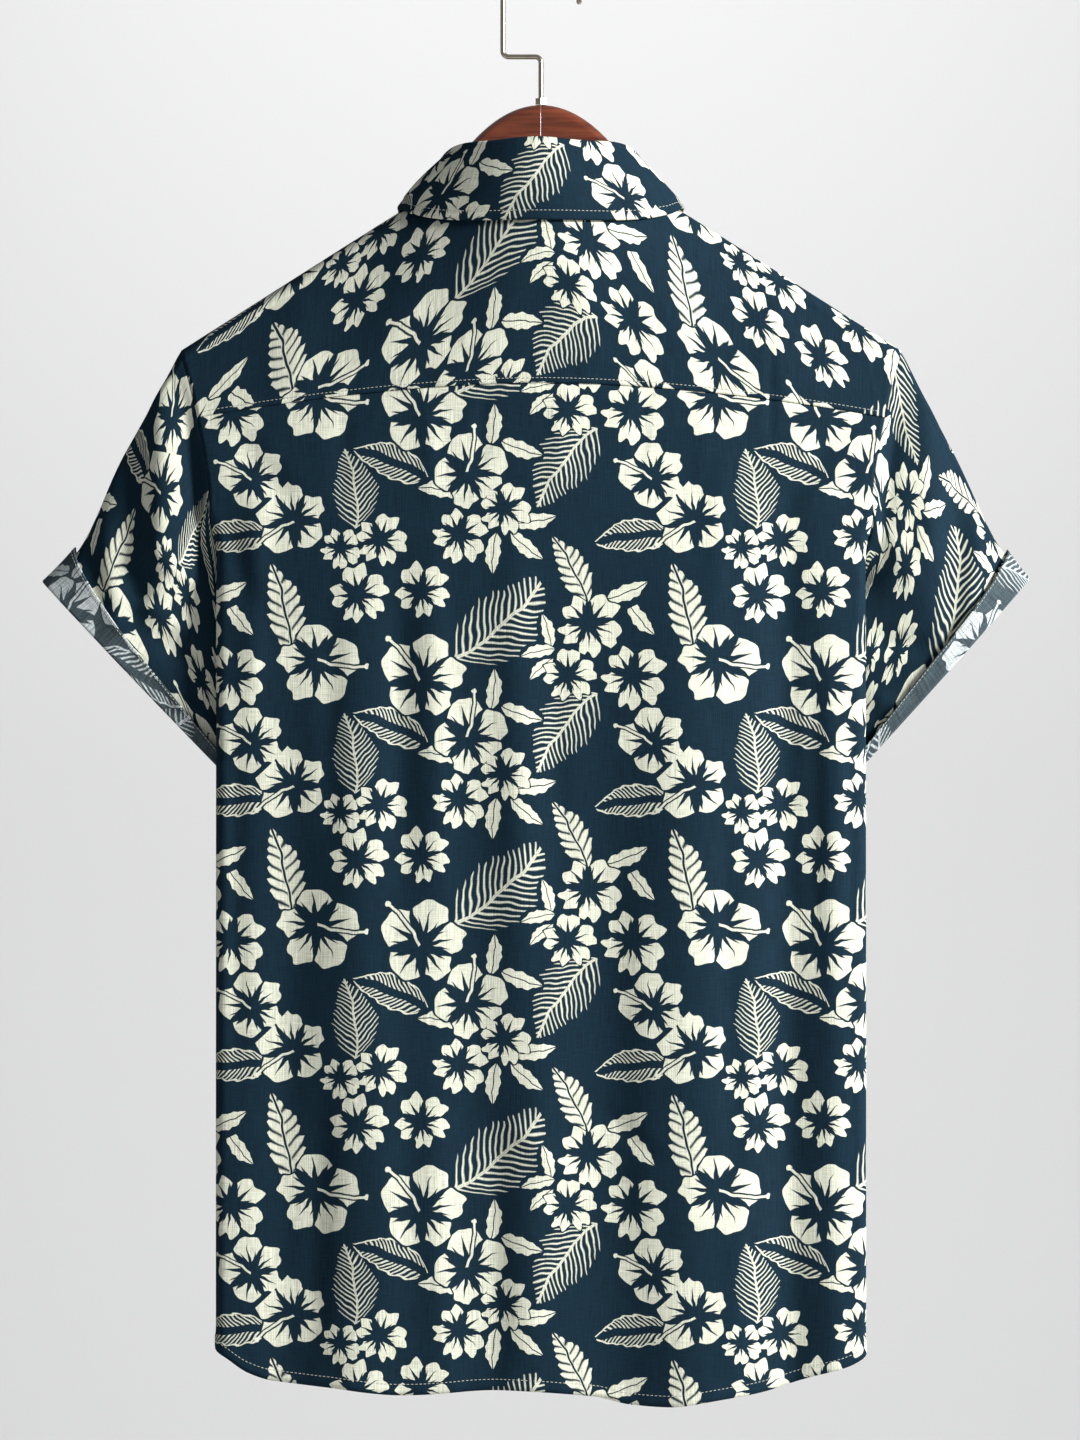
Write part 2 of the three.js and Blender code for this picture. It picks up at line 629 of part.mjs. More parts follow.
for (const [name, sleeve] of Object.entries(SLEEVES)) {
  const flip = sleeve.side < 0;
  const first = armholeRing(sleeve.side).map((spot) => spot.n);
  add(`sleeve_${name}`, wall(sleeveGrid(sleeve, SLEEVE_ROWS), CLOTH, true, flip, first), NAVY);
  add(`cuff_${name}`, wall(cuffGrid(sleeve), CUFF.cloth, true, flip), CUFF_GREY);
}

// Collar: up from the neckline, over the roll and down to the edge of the leaf
const COLLAR_ANGLES = [];
for (let i = 0; i <= 36; i += 1) COLLAR_ANGLES.push(mix(-COLLAR.end, COLLAR.end, i / 36));
function collarEdge(angle) {
  const a = Math.abs(angle);
  const side = angle < 0 ? -1 : 1;
  const quarter = 90 * DEG;
  if (a <= quarter) {
    const x = COLLAR_EDGE.x * Math.sin(a);
    const rise = (COLLAR_EDGE.sideZ - COLLAR_EDGE.backZ) * Math.sin(a) ** 5;
    const h = Math.max(0, ridgeZ(x) - COLLAR_EDGE.backZ - rise);
    return { x: side * x, q: girthOf(h) };
  }
  const t = (a - quarter) / (COLLAR.end * DEG - quarter);
  const x = mix(COLLAR_EDGE.x, COLLAR_EDGE.pointX, t ** 1.5);
  const z = mix(COLLAR_EDGE.sideZ, COLLAR_EDGE.pointZ, t ** 1.2);
  return { x: side * x, q: -girthOf(Math.max(0, ridgeZ(x) - z)) };
}
function collarColumn(degrees) {
  const angle = degrees * DEG;
  const neck = neckSpot(Math.abs(angle));
  const side = degrees < 0 ? -1 : 1;
  const base = shoulderPoint(side * neck.x, neck.q);
  const out = new THREE.Vector3(Math.sin(angle), Math.cos(angle), 0);
  const c = Math.cos(angle);
  const rollZ = mix(COLLAR_ROLL_Z.side, c >= 0 ? COLLAR_ROLL_Z.back : COLLAR_ROLL_Z.front, c * c);
  const flat = c >= 0 ? mix(rollZ, COLLAR_ROLL_Z.back, COLLAR.square * Math.sin(2 * Math.abs(angle)) ** 2) : rollZ;
  const lean = mix(COLLAR.lean, 1, Math.max(0, -c));
  const foot = base.clone().addScaledVector(out, -COLLAR.cloth - 0.1);
  foot.z += COLLAR.base;
  const stand = new THREE.Vector3(base.x * lean, base.y * mix(0.93, 1, Math.max(0, -c)), flat);
  stand.addScaledVector(out, -COLLAR.cloth);
  const outside = stand.clone().addScaledVector(out, 2 * COLLAR.roll);
  const column = [foot, foot.clone().lerp(stand, 0.5), stand];
  for (const turn of [135, 90, 45]) {
    const p = stand.clone().addScaledVector(out, COLLAR.roll * (1 + Math.cos(turn * DEG)));
    p.z += COLLAR.roll * Math.sin(turn * DEG);
    column.push(p);
  }
  const edge = collarEdge(angle);
  const rise = outside.clone().sub(base);
  for (const t of [0, 0.25, 0.5, 0.75, 1]) {
    const x = mix(side * neck.x, edge.x, t);
    const q = mix(neck.q, edge.q, t);
    const off = COLLAR.cloth + COLLAR.rest * (1 - (1 - t) ** 4) + 3 * t * (1 - t);
    const fall = shoulderPoint(x, q).addScaledVector(rise, 1 - t);
    column.push(fall.addScaledVector(shoulderNormal(x, q), t > 0 ? off - COLLAR.cloth * (1 - t) : 0));
  }
  return column;
}
const collarGrid = COLLAR_ANGLES.map(collarColumn);
add("collar", wall(collarGrid, COLLAR.cloth, false, true), NAVY);

// Hanger arms: rounded bars under the shoulders, arched up at the middle
function armTop(x) {
  const arch = ARM.top - ARM.arch * x * x - ARM.archFour * x ** 4;
  const rest = ridgeZ(x) - ARM.under - 1;
  return (arch + rest + Math.sqrt((arch - rest) ** 2 + 4)) / 2;
}
const armLow = (x) => ARM_LOW.z - ARM_LOW.slope * (Math.hypot(x, ARM_LOW.round) - ARM_LOW.round);
const ARM_STATIONS = [ARM.joint, 12, 24, 36, 46, 56, 62, 67, 76, 95, 125, 160, 188, 198, 203, ARM.end];
const ARM_SIDES = 14;
function armGeometry(side) {
  const points = [];
  const faces = [];
  ARM_STATIONS.forEach((x) => {
    const size = x > 190 ? Math.sqrt(Math.max(0.12, 1 - ((x - 190) / 16) ** 2)) : 1;
    const top = armTop(x);
    const low = armLow(x);
    const middle = (top + low) / 2;
    const half = ARM.half * size;
    const reach = ((top - low) / 2) * size;
    for (let i = 0; i < ARM_SIDES; i += 1) {
      const a = (2 * Math.PI * (i + 0.5)) / ARM_SIDES;
      const up = Math.sin(a) > 0 ? 1 : -1;
      points.push(new THREE.Vector3(side * x, half * Math.cos(a), middle + up * (reach - half) + half * Math.sin(a)));
    }
  });
  const n = ARM_STATIONS.length;
  const push = (a, b, c) => (side > 0 ? faces.push(a, b, c) : faces.push(a, c, b));
  for (let j = 0; j < n - 1; j += 1) {
    for (let i = 0; i < ARM_SIDES; i += 1) {
      const k = (i + 1) % ARM_SIDES;
      const [a, b, c, d] = [j * ARM_SIDES + i, j * ARM_SIDES + k, (j + 1) * ARM_SIDES + k, (j + 1) * ARM_SIDES + i];
      push(a, b, c);
      push(a, c, d);
    }
  }
  const end = (n - 1) * ARM_SIDES;
  for (let i = 1; i < ARM_SIDES - 1; i += 1) {
    push(0, i + 1, i);
    push(end, end + i, end + i + 1);
  }
  return solidFrom(points, faces);
}
add("hanger_arm_left", armGeometry(1), WOOD, 0.3);
add("hanger_arm_right", armGeometry(-1), WOOD, 0.3);

// Nut on the wood and the cranked wire hook above it
const nutLow = ARM.top + NUT.gap;
const nut = new THREE.CylinderGeometry(NUT.radius, NUT.radius, NUT.height, 6);
nut.rotateX(Math.PI / 2);
nut.translate(0, 0, nutLow + NUT.height / 2);
add("hanger_nut", nut, WIRE, 0.3, 1);

function hookPath() {
  const path = [];
  const start = nutLow + NUT.height + NUT.gap;
  const bend = (cx, cz, from, to, radius, steps) => {
    for (let i = 0; i <= steps; i += 1) {
      const a = mix(from, to, i / steps) * DEG;
      path.push(new THREE.Vector3(cx + radius * Math.cos(a), 0, cz + radius * Math.sin(a)));
    }
  };
  const r = HOOK.crankRound;
  path.push(new THREE.Vector3(0, 0, start));
  bend(r, HOOK.crankZ - r, 180, 90, r, 4);
  bend(HOOK.bend - r, HOOK.crankZ + r, 270, 360, r, 4);
  bend(0, HOOK.centreZ, 0, 180, HOOK.bend, 16);
  path.push(new THREE.Vector3(-HOOK.bend, 0, HOOK.tipZ));
  return path;
}
const WIRE_SIDES = 10;
function wireGeometry(path) {
  const points = [];
  const faces = [];
  const across = new THREE.Vector3(0, 1, 0);
  path.forEach((p, j) => {
    const along = new THREE.Vector3()
      .subVectors(path[Math.min(path.length - 1, j + 1)], path[Math.max(0, j - 1)])
      .normalize();
    const other = new THREE.Vector3().crossVectors(along, across);
    for (let i = 0; i < WIRE_SIDES; i += 1) {
      const a = (2 * Math.PI * i) / WIRE_SIDES;
      const spot = p.clone().addScaledVector(across, HOOK.wire * Math.cos(a));
      points.push(spot.addScaledVector(other, HOOK.wire * Math.sin(a)));
    }
  });
  for (let j = 0; j < path.length - 1; j += 1) {
    for (let i = 0; i < WIRE_SIDES; i += 1) {
      const k = (i + 1) % WIRE_SIDES;
      const [a, b, c, d] = [j * WIRE_SIDES + i, j * WIRE_SIDES + k, (j + 1) * WIRE_SIDES + k, (j + 1) * WIRE_SIDES + i];
      faces.push(a, b, c, a, c, d);
    }
  }
  const end = (path.length - 1) * WIRE_SIDES;
  for (let i = 1; i < WIRE_SIDES - 1; i += 1) {
    faces.push(0, i + 1, i);
    faces.push(end, end + i, end + i + 1);
  }
  return solidFrom(points, faces);
}
add("hanger_hook", wireGeometry(hookPath()), WIRE, 0.3, 1);

export default group;
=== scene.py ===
import math

import bpy
import numpy as np
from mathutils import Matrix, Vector


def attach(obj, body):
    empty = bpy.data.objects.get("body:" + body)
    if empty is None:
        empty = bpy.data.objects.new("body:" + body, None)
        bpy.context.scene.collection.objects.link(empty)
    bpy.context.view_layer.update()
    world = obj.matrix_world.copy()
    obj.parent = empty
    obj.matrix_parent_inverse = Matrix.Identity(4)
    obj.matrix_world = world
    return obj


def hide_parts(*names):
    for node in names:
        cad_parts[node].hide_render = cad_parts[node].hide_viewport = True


bl_info = {
    "name": "Hawaiian shirt on a hanger",
    "version": (1, 0, 0),
    "blender": (4, 5, 0),
    "location": "3D View > Sidebar > Shirt",
    "description": "Builds a printed short-sleeved shirt on a wooden hanger over its CAD frame",
    "category": "Object",
}

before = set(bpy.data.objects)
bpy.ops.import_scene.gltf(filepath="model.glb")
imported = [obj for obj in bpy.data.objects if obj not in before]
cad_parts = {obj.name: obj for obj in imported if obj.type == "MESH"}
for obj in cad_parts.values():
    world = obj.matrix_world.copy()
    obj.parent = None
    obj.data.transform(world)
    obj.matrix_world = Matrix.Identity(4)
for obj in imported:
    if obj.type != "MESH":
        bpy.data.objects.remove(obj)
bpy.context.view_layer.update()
MM = 0.001

# Sizes in millimetres; the frame is the CAD model's
SHOULDER_X, SHOULDER_Z, SHOULDER_SLOPE = 88.0, -163.0, 0.641
SHOULDER_BLEND, SHOULDER_ROUND = 20.0, 9.5
BACK_DEPTH, FRONT_DEPTH, SIDE_LOSS = 40.0, 38.0, 10.0
DEPTH_RUN, HALF_BODY = 90.0, 200.0
SWELL = {1: (22.0, -156.0), -1: (16.0, -200.0)}
SWELL_WIDTH, SWELL_HEIGHT = 84.0, 80.0
FOLD_RADIUS, FRONT_FOLD_IN = 7.0, 2.0
FOLD_LOW_X, FOLD_HIGH_X, FOLD_LOW_Z, FOLD_HIGH_Z = 200.0, 225.0, -378.0, -300.0
SIDE_SEAM_X, SIDE_SEAM_ROUND, UNDERARM_Z = 145.0, 3.0, -503.0
NECK_HALF, NECK_BACK_Z, NECK_FRONT_Z = 66.0, -156.0, -222.0
YOKE_CENTRE_Z, YOKE_DROP, YOKE_CORNER_X = -271.0, 20.0, 212.0
FRONT_YOKE_Q, FRONT_HEM_UP, SIDE_HEM_Z = -40.0, 4.0, -848.0
LONG_EDGE, OVERLAP, UNDER_SET, UNDER_RUN = 265.0, 15.0, 2.1, 30.0

ARMHOLE = [
    (-240, 225), (-249, 223), (-270, 217), (-291, 212), (-316, 207), (-341, 204), (-366, 206),
    (-390, 211), (-414, 216), (-438, 223), (-460, 232), (-480, 243), (-495, 255),
]
HEM = [
    (-266, -848), (-230, -856), (-205, -865), (-188, -874), (-167, -880), (-137, -889),
    (-107, -894), (-77, -898), (-55, -897), (-32, -892), (25, -888), (84, -891),
    (125, -887), (164, -883), (179, -878), (194, -868), (212, -859), (266, -848),
]
# Soft upright folds: x at the top, x at the hem, half-width, rise, start z, full z
FOLDS = {
    1: [
        (112, 112, 18, 3.4, -320, -580),
        (153, 157, 17, -3.4, -350, -620),
        (44, 37, 18, -3.2, -400, -680),
        (-30, -42, 28, -4.6, -330, -620),
        (-88, -94, 28, 5.0, -300, -520),
        (-150, -152, 14, -5.4, -285, -440),
        (-181, -182, 10, 2.2, -380, -560),
    ],
    -1: [
        (120, 108, 28, 4.0, -330, -560),
        (62, 70, 20, -4.0, -360, -620),
        (-80, -96, 30, 5.0, -320, -540),
        (-140, -150, 18, -4.0, -380, -600),
    ],
}
# Finer creases as soft lines: x and z of both ends, half-width, rise
CREASES = {
    1: [
        (88, -380, 86, -590, 9, -2.0), (67, -370, 62, -600, 10, 2.2), (16, -360, 12, -640, 12, 2.4),
        (-8, -420, -12, -600, 8, -1.2), (128, -400, 130, -560, 8, -1.2),
        (-142, -236, -141, -316, 2.2, -1.0), (-112, -300, -106, -430, 9, 1.3),
        (-60, -560, -66, -830, 12, 1.4), (174, -330, 177, -480, 8, 1.8), (188, -470, 187, -700, 7, -1.6),
        (100, -640, 92, -872, 12, 1.8), (134, -700, 140, -872, 9, -1.8), (0, -650, 6, -884, 13, 1.9),
        (66, -690, 60, -884, 11, 1.7), (28, -720, 26, -884, 8, -1.3), (-112, -520, -118, -760, 7, -1.2),
        (-124, -740, -118, -890, 9, 1.4), (-168, -420, -168, -640, 6, -1.2),
        (-192, -480, -191, -600, 5, -1.4), (-30, -712, -74, -748, 6, -1.1), (22, -722, -24, -764, 6, 1.1),
        (190, -300, 150, -352, 9, -1.5), (-186, -300, -142, -356, 9, -1.5), (198, -348, 168, -430, 8, -1.4),
        (-60, -175, -96, -262, 16, 1.2), (62, -176, 104, -262, 16, 1.2), (0, -190, 4, -262, 14, -1.1),
        (-140, -205, -150, -282, 14, 1.3), (146, -208, 158, -282, 14, 1.2), (-24, -200, -34, -262, 9, 0.8),
        (34, -275, 38, -330, 5, -0.8), (-64, -276, -60, -324, 5, -0.8), (120, -284, 124, -345, 6, -0.8),
        (70, -280, 66, -352, 6, 0.8), (-14, -276, -10, -340, 7, 0.8), (-100, -284, -98, -340, 6, 0.7),
    ],
    -1: [
        (40, -300, 44, -520, 9, -1.5), (92, -360, 84, -600, 10, 1.7), (150, -330, 158, -500, 9, -1.8),
        (-44, -320, -50, -560, 10, -1.5), (-110, -380, -112, -620, 9, 1.5), (-166, -330, -160, -520, 8, -1.8),
        (34, -600, 40, -860, 12, 1.6), (-36, -640, -42, -860, 11, -1.6), (128, -620, 136, -860, 11, -1.8),
        (-128, -620, -122, -850, 12, 1.5), (70, -190, 110, -262, 14, 1.2), (-70, -190, -108, -262, 14, 1.2),
        (186, -300, 150, -350, 9, -1.4), (-186, -300, -150, -350, 9, -1.4), (20, -700, -20, -742, 6, -0.9),
    ],
}
SLEEVE_CREASES = {
    1: [
        (211, -262, 204, -392, 10, -7.5), (234, -262, 233, -400, 10, 5.0), (253, -300, 248, -440, 8, -3.0),
        (270, -345, 262, -440, 7, 2.0), (203, -396, 250, -366, 8, 2.4), (202, -440, 246, -426, 7, -2.6),
        (203, -472, 232, -470, 6, 2.0), (280, -372, 266, -420, 6, -1.6), (216, -420, 262, -402, 5, 1.4),
    ],
    -1: [
        (-217, -268, -210, -380, 8, -4.4), (-238, -268, -241, -392, 10, 3.4),
        (-259, -312, -254, -430, 8, -2.6), (-204, -392, -250, -372, 8, 2.4),
        (-202, -430, -246, -432, 7, -2.6), (-272, -352, -262, -440, 7, 2.0),
        (-203, -464, -232, -474, 6, 2.0), (-286, -368, -276, -412, 6, -1.4),
    ],
}
# Sleeves: the flattened hem's tip and low end, and how far the top line draws in above the cuff
SLEEVES = {1: (307.0, -392.0, 178.0, -528.0, 8.0), -1: (301.0, -390.0, 178.0, -528.0, 5.0)}
CUFF_TIP = {1: 27.0, -1: 22.0}
DRAW_FROM, DRAW_FULL = 0.4, 0.84
HEM_DEPTH, HEM_DEPTH_GAIN, SLEEVE_SAG = 13.0, 6.0, 9.0
CUFF_LOW, CUFF_TAPER = 4.0, 1.7
COLLAR_END, COLLAR_LEAN, COLLAR_ROLL, COLLAR_REST = 172.0, 0.91, 2.4, 1.9
COLLAR_ROLL_Z = (-123.6, -134.0, -204.0)
COLLAR_EDGE_X, COLLAR_BACK_Z, COLLAR_SIDE_Z = 88.0, -172.4, -163.0
COLLAR_POINT_X, COLLAR_POINT_Z = 42.0, -262.0
COLLAR_CLOTH = 1.2
BUTTON_HEIGHTS = (-245, -340, -435, -530, -625, -720)
BUTTONHOLE, BUTTONHOLE_HALF = 14.0, 0.8
# Sewing: pitch, length, width and height of the seams' stitches and of the buttonholes'
FINE = {"pitch": 2.6, "length": 1.8, "width": 0.42, "lift": 0.12}
BUTTONHOLE_THREAD = {"pitch": 0.8, "length": 0.75, "width": 0.8, "lift": 0.1}
# Hems and seams: heights of the turned hem, the lapped seams and the puckers, and where they fade
HEM_RAISED, HEM_SOFT = {1: 0.55, -1: 0.5}, (0.3, 1.2)
HEM_RIPPLE, YOKE_LIP, YOKE_PUCKER, LIP_FADE = 0.22, 0.25, 0.2, (2.2, 4.0)
YOKE_LAP, YOKE_STITCH_UP = 1.1, 3.0
YOKE_SPACES = (-40, -26, -15, -9.5, -4.5, 0, 4.5, 9.5, 15, 26, 40)


def mix(a, b, t):
    return a + (b - a) * t


def smooth(v, a, b):
    """Zero at a and one at b, with level ends."""
    t = np.clip((v - a) / (b - a), 0, 1)
    return t * t * (3 - 2 * t)


def curve(table):
    """A monotone cubic through (key, value) rows: slopes are harmonic means of the neighbours' slopes."""
    xs, ys = np.array(sorted(table), float).T
    d = np.diff(ys) / np.diff(xs)
    both = d[:-1] * d[1:]
    m = np.concatenate([d[:1], np.where(both > 0, 2 * both / (d[:-1] + d[1:] + 1e-12), 0), d[-1:]])

    def at(x):
        i = np.clip(np.searchsorted(xs, x) - 1, 0, len(xs) - 2)
        h = xs[i + 1] - xs[i]
        t = np.clip((x - xs[i]) / h, 0, 1)
        a = (1 + 2 * t) * (1 - t) ** 2 * ys[i] + t * (1 - t) ** 2 * h * m[i]
        return a + t * t * (3 - 2 * t) * ys[i + 1] + t * t * (t - 1) * h * m[i + 1]

    return at


hem_z = curve(HEM)
armhole_table = curve(ARMHOLE)


def spread(x):
    return np.sqrt(x * x + SHOULDER_BLEND**2)


def ridge_z(x):
    """Height of the shoulder line: a straight slope, rounded at the centre."""
    return SHOULDER_Z - SHOULDER_SLOPE * (spread(x) - spread(SHOULDER_X))


def soft_lines(x, z, table):
    """Sum of soft ridges and troughs: each is a Gaussian across a line and fades at both ends."""
    total = np.zeros(np.broadcast(x, z).shape)
    for x0, z0, x1, z1, width, rise in table:
        dx, dz = x1 - x0, z1 - z0
        length = math.hypot(dx, dz)
        along = ((x - x0) * dx + (z - z0) * dz) / length
        across = ((x - x0) * dz - (z - z0) * dx) / length
        fade = smooth(along, -0.12 * length, 0.3 * length) * (1 - smooth(along, 0.7 * length, 1.12 * length))
        total += rise * fade * np.exp(-((across / width) ** 2))
    return total


def fold_rise(x, z, face):
    total = np.zeros(np.broadcast(x, z).shape)
    for top, low, width, rise, start, full in FOLDS[face]:
        t = np.clip((start - z) / (start + 880), 0, 1)
        across = (x - mix(top, low, t)) / width
        total += rise * (1 - smooth(z, full, start)) * np.exp(-across * across)
    return total + soft_lines(x, z, CREASES[face])


def depth_at(x, h, face):
    """Depth of the cloth a height h below the shoulder line: a quarter round, then a run toward the full
    depth, with a swell round the neck, the upright folds and the finer creases added."""
    h = np.maximum(h, 0)
    wide = np.clip(np.abs(x) / HALF_BODY, 0, 1.1)
    full = (BACK_DEPTH if face > 0 else FRONT_DEPTH) - SIDE_LOSS * wide * wide
    near = np.sqrt(np.maximum(0, h * (2 * SHOULDER_ROUND - h)))
    far = SHOULDER_ROUND + (full - SHOULDER_ROUND) * (1 - np.exp(-(h - SHOULDER_ROUND) / DEPTH_RUN))
    y = np.where(h > SHOULDER_ROUND, far, near)
    z = ridge_z(x) - h
    swell, swell_z = SWELL[face]
    up, side = (z - swell_z) / SWELL_HEIGHT, x / SWELL_WIDTH
    y = y + swell * np.exp(-side * side - up * up) * (1 - np.exp(-h / 8))
    return y + fold_rise(x, z, face) * smooth(h, 0, 14)


def girth_of(h):
    h = np.maximum(h, 0)
    near = SHOULDER_ROUND * np.arccos(np.clip(1 - h / SHOULDER_ROUND, -1, 1))
    return np.where(h < SHOULDER_ROUND, near, SHOULDER_ROUND * math.pi / 2 + h - SHOULDER_ROUND)


def drop_of(q):
    a, turn = np.abs(q), SHOULDER_ROUND * math.pi / 2
    return np.where(a < turn, SHOULDER_ROUND * (1 - np.cos(a / SHOULDER_ROUND)), SHOULDER_ROUND + a - turn)


def shoulder_point(x, q):
    """A point over the shoulders: x across, q the girth from the shoulder line, back positive."""
    x, q = np.broadcast_arrays(np.asarray(x, float), np.asarray(q, float))
    h = drop_of(q)
    y = np.where(q >= 0, depth_at(x, h, 1), -depth_at(x, h, -1))
    return np.stack([x, y, ridge_z(x) - h], -1)


def shoulder_normal(x, q):
    a = shoulder_point(x + 0.5, q) - shoulder_point(x - 0.5, q)
    b = shoulder_point(x, q - 0.5) - shoulder_point(x, q + 0.5)
    return unit(np.cross(b, a))


def unit(v):
    return v / np.maximum(np.linalg.norm(v, axis=-1, keepdims=True), 1e-9)


def level(z, side, face):
    """Landmarks along the cloth at a height: end of the flat part, inner line and side seam."""
    flat = mix(FOLD_LOW_X, FOLD_HIGH_X, smooth(z, FOLD_LOW_Z, FOLD_HIGH_Z)) - FOLD_RADIUS
    flat = flat - (FRONT_FOLD_IN if face < 0 else 0)
    y = depth_at(side * flat, ridge_z(flat) - z, face)
    inner = y - 2 * FOLD_RADIUS
    line_x, line_y = SIDE_SEAM_X + SIDE_SEAM_ROUND - flat, SIDE_SEAM_ROUND - inner
    line = np.hypot(line_x, line_y)
    turned = flat + math.pi * FOLD_RADIUS
    return flat, y, inner, line_x, line_y, line, turned, turned + line + SIDE_SEAM_ROUND * math.pi / 2


def body_point(s, z, side, face):
    """A point of the body: flat to the side fold, round the fold, then inward to the side seam."""
    flat, y_fold, inner, line_x, line_y, line, turned, _ = level(z, side, face)
    a = np.abs(s)
    turn = (a - flat) / FOLD_RADIUS
    t = (a - turned) / line
    last = np.clip((a - turned - line) / SIDE_SEAM_ROUND, 0, math.pi / 2)
    x = np.select(
        [a <= flat, a <= turned, a <= turned + line],
        [a, flat + FOLD_RADIUS * np.sin(turn), flat + line_x * t],
        SIDE_SEAM_X + SIDE_SEAM_ROUND * (1 - np.sin(last)),
    )
    x = np.where(a <= flat, s, x)
    y = np.select(
        [a <= flat, a <= turned, a <= turned + line],
        [
            depth_at(side * s, ridge_z(s) - z, face),
            y_fold - FOLD_RADIUS * (1 - np.cos(turn)),
            inner + line_y * t,
        ],
        SIDE_SEAM_ROUND * np.cos(last),
    )
    return np.stack([side * x, face * y, z], -1)


def edge_at(z, side, face):
    """Where a panel's side edge runs: the armhole above the underarm, the side seam below."""
    seam = level(z, side, face)[-1]
    low_z = ARMHOLE[-1][0]
    blended = mix(armhole_table(np.full_like(z, low_z)), seam, smooth(z, low_z, UNDERARM_Z))
    return np.where(z <= UNDERARM_Z, seam, np.where(z < low_z, blended, armhole_table(z)))


def yoke_seam_z(x):
    return YOKE_CENTRE_Z - YOKE_DROP * (np.abs(x) / YOKE_CORNER_X) ** 1.8


def grid_normals(points, closed=False):
    """Unit normals of a grid, columns crossed with rows."""
    if closed:
        a = np.roll(points, -1, 1) - np.roll(points, 1, 1)
    else:
        a = np.gradient(points, axis=1)
    return unit(np.cross(a, np.gradient(points, axis=0)))


def even(a, b, n):
    return np.linspace(a, b, n)


def runs(start, *stops):
    """Numbers from a start through stops, each given with the count of even steps that lead to it."""
    parts = [np.array([start], float)]
    for stop, steps in stops:
        parts.append(np.linspace(start, stop, steps + 1)[1:])
        start = stop
    return np.concatenate(parts)


def travel(points, axis=0):
    """Length run so far along a path, or along each row of a grid."""
    steps = np.linalg.norm(np.diff(points, axis=axis), axis=-1)
    first = np.zeros_like(np.take(steps, [0], axis))
    return np.concatenate([first, np.cumsum(steps, axis)], axis)


def grid_quads(rows, cols, closed=False):
    """Corner numbers of the four-sided faces of a grid, joined round its columns where it is closed."""
    i = np.arange(cols if closed else cols - 1)
    j = np.arange(rows - 1)[:, None]
    k = (i + 1) % cols
    return np.stack([j * cols + i, j * cols + k, (j + 1) * cols + k, (j + 1) * cols + i], -1).reshape(-1, 4)


def add_object(name, mesh, finish=None):
    obj = bpy.data.objects.new(name, mesh)
    bpy.context.collection.objects.link(obj)
    if finish:
        mesh.materials.append(bpy.data.materials[finish])
    return obj


def stand_for(obj, nodes):
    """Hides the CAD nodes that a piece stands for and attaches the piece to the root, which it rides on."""
    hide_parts(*nodes)
    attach(obj, "root")
    return obj


def add_mesh(name, points, uv, flip=False):
    """Puts a grid of points in as a mesh of quads, with its own UV map in metres of flat cloth."""
    rows, cols = points.shape[:2]
    quads = grid_quads(rows, cols)
    if flip:
        quads = quads[:, ::-1]
    mesh = bpy.data.meshes.new(name)
    mesh.vertices.add(rows * cols)
    mesh.vertices.foreach_set("co", (points.reshape(-1, 3) * MM).ravel())
    mesh.loops.add(quads.size)
    mesh.loops.foreach_set("vertex_index", quads.ravel())
    mesh.polygons.add(len(quads))
    mesh.polygons.foreach_set("loop_start", np.arange(len(quads)) * 4)
    mesh.polygons.foreach_set("loop_total", np.full(len(quads), 4))
    mesh.update(calc_edges=True)
    flat = uv.reshape(-1, 2)[quads.ravel()] * MM
    mesh.uv_layers.new(name="cloth").data.foreach_set("uv", flat.ravel())
    mesh.polygons.foreach_set("use_smooth", np.ones(len(quads), bool))
    mesh.validate()
    return add_object(name, mesh)


def add_tubes(name, tubes, finish):
    """Joins tubes in one mesh: each is rings of points, with one flat face at both ends."""
    verts, faces = [], []
    for rings, flip in tubes:
        rows, cols = rings.shape[:2]
        first = np.arange(cols)
        last = first + (rows - 1) * cols
        step = -1 if flip else 1
        quads = grid_quads(rows, cols, True)[:, ::step].tolist()
        ends = [first[::-step].tolist(), last[::step].tolist()]
        faces += [[len(verts) + i for i in face] for face in quads + ends]
        verts += (rings.reshape(-1, 3) * MM).tolist()
    mesh = bpy.data.meshes.new(name)
    mesh.from_pydata(verts, [], faces)
    mesh.polygons.foreach_set("use_smooth", np.array([len(face) == 4 for face in faces]))
    return add_object(name, mesh, finish)


def finish_node(node, finish, width, segments):
    """Gives a carried-over CAD solid its finish and small rounded edges."""
    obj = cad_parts[node]
    obj.data.materials.clear()
    obj.data.materials.append(bpy.data.materials[finish])
    edges = obj.modifiers.new("rounded", "BEVEL")
    edges.width, edges.segments, edges.limit_method = width, segments, "ANGLE"


def shell(obj, thickness, front, back):
    """Gives a cloth surface its thickness inward and its two sides' materials."""
    obj.data.materials.append(front)
    obj.data.materials.append(back)
    wall = obj.modifiers.new("thickness", "SOLIDIFY")
    wall.thickness = thickness * MM
    wall.offset = -1
    wall.material_offset = 1
    wall.material_offset_rim = 0
    return obj


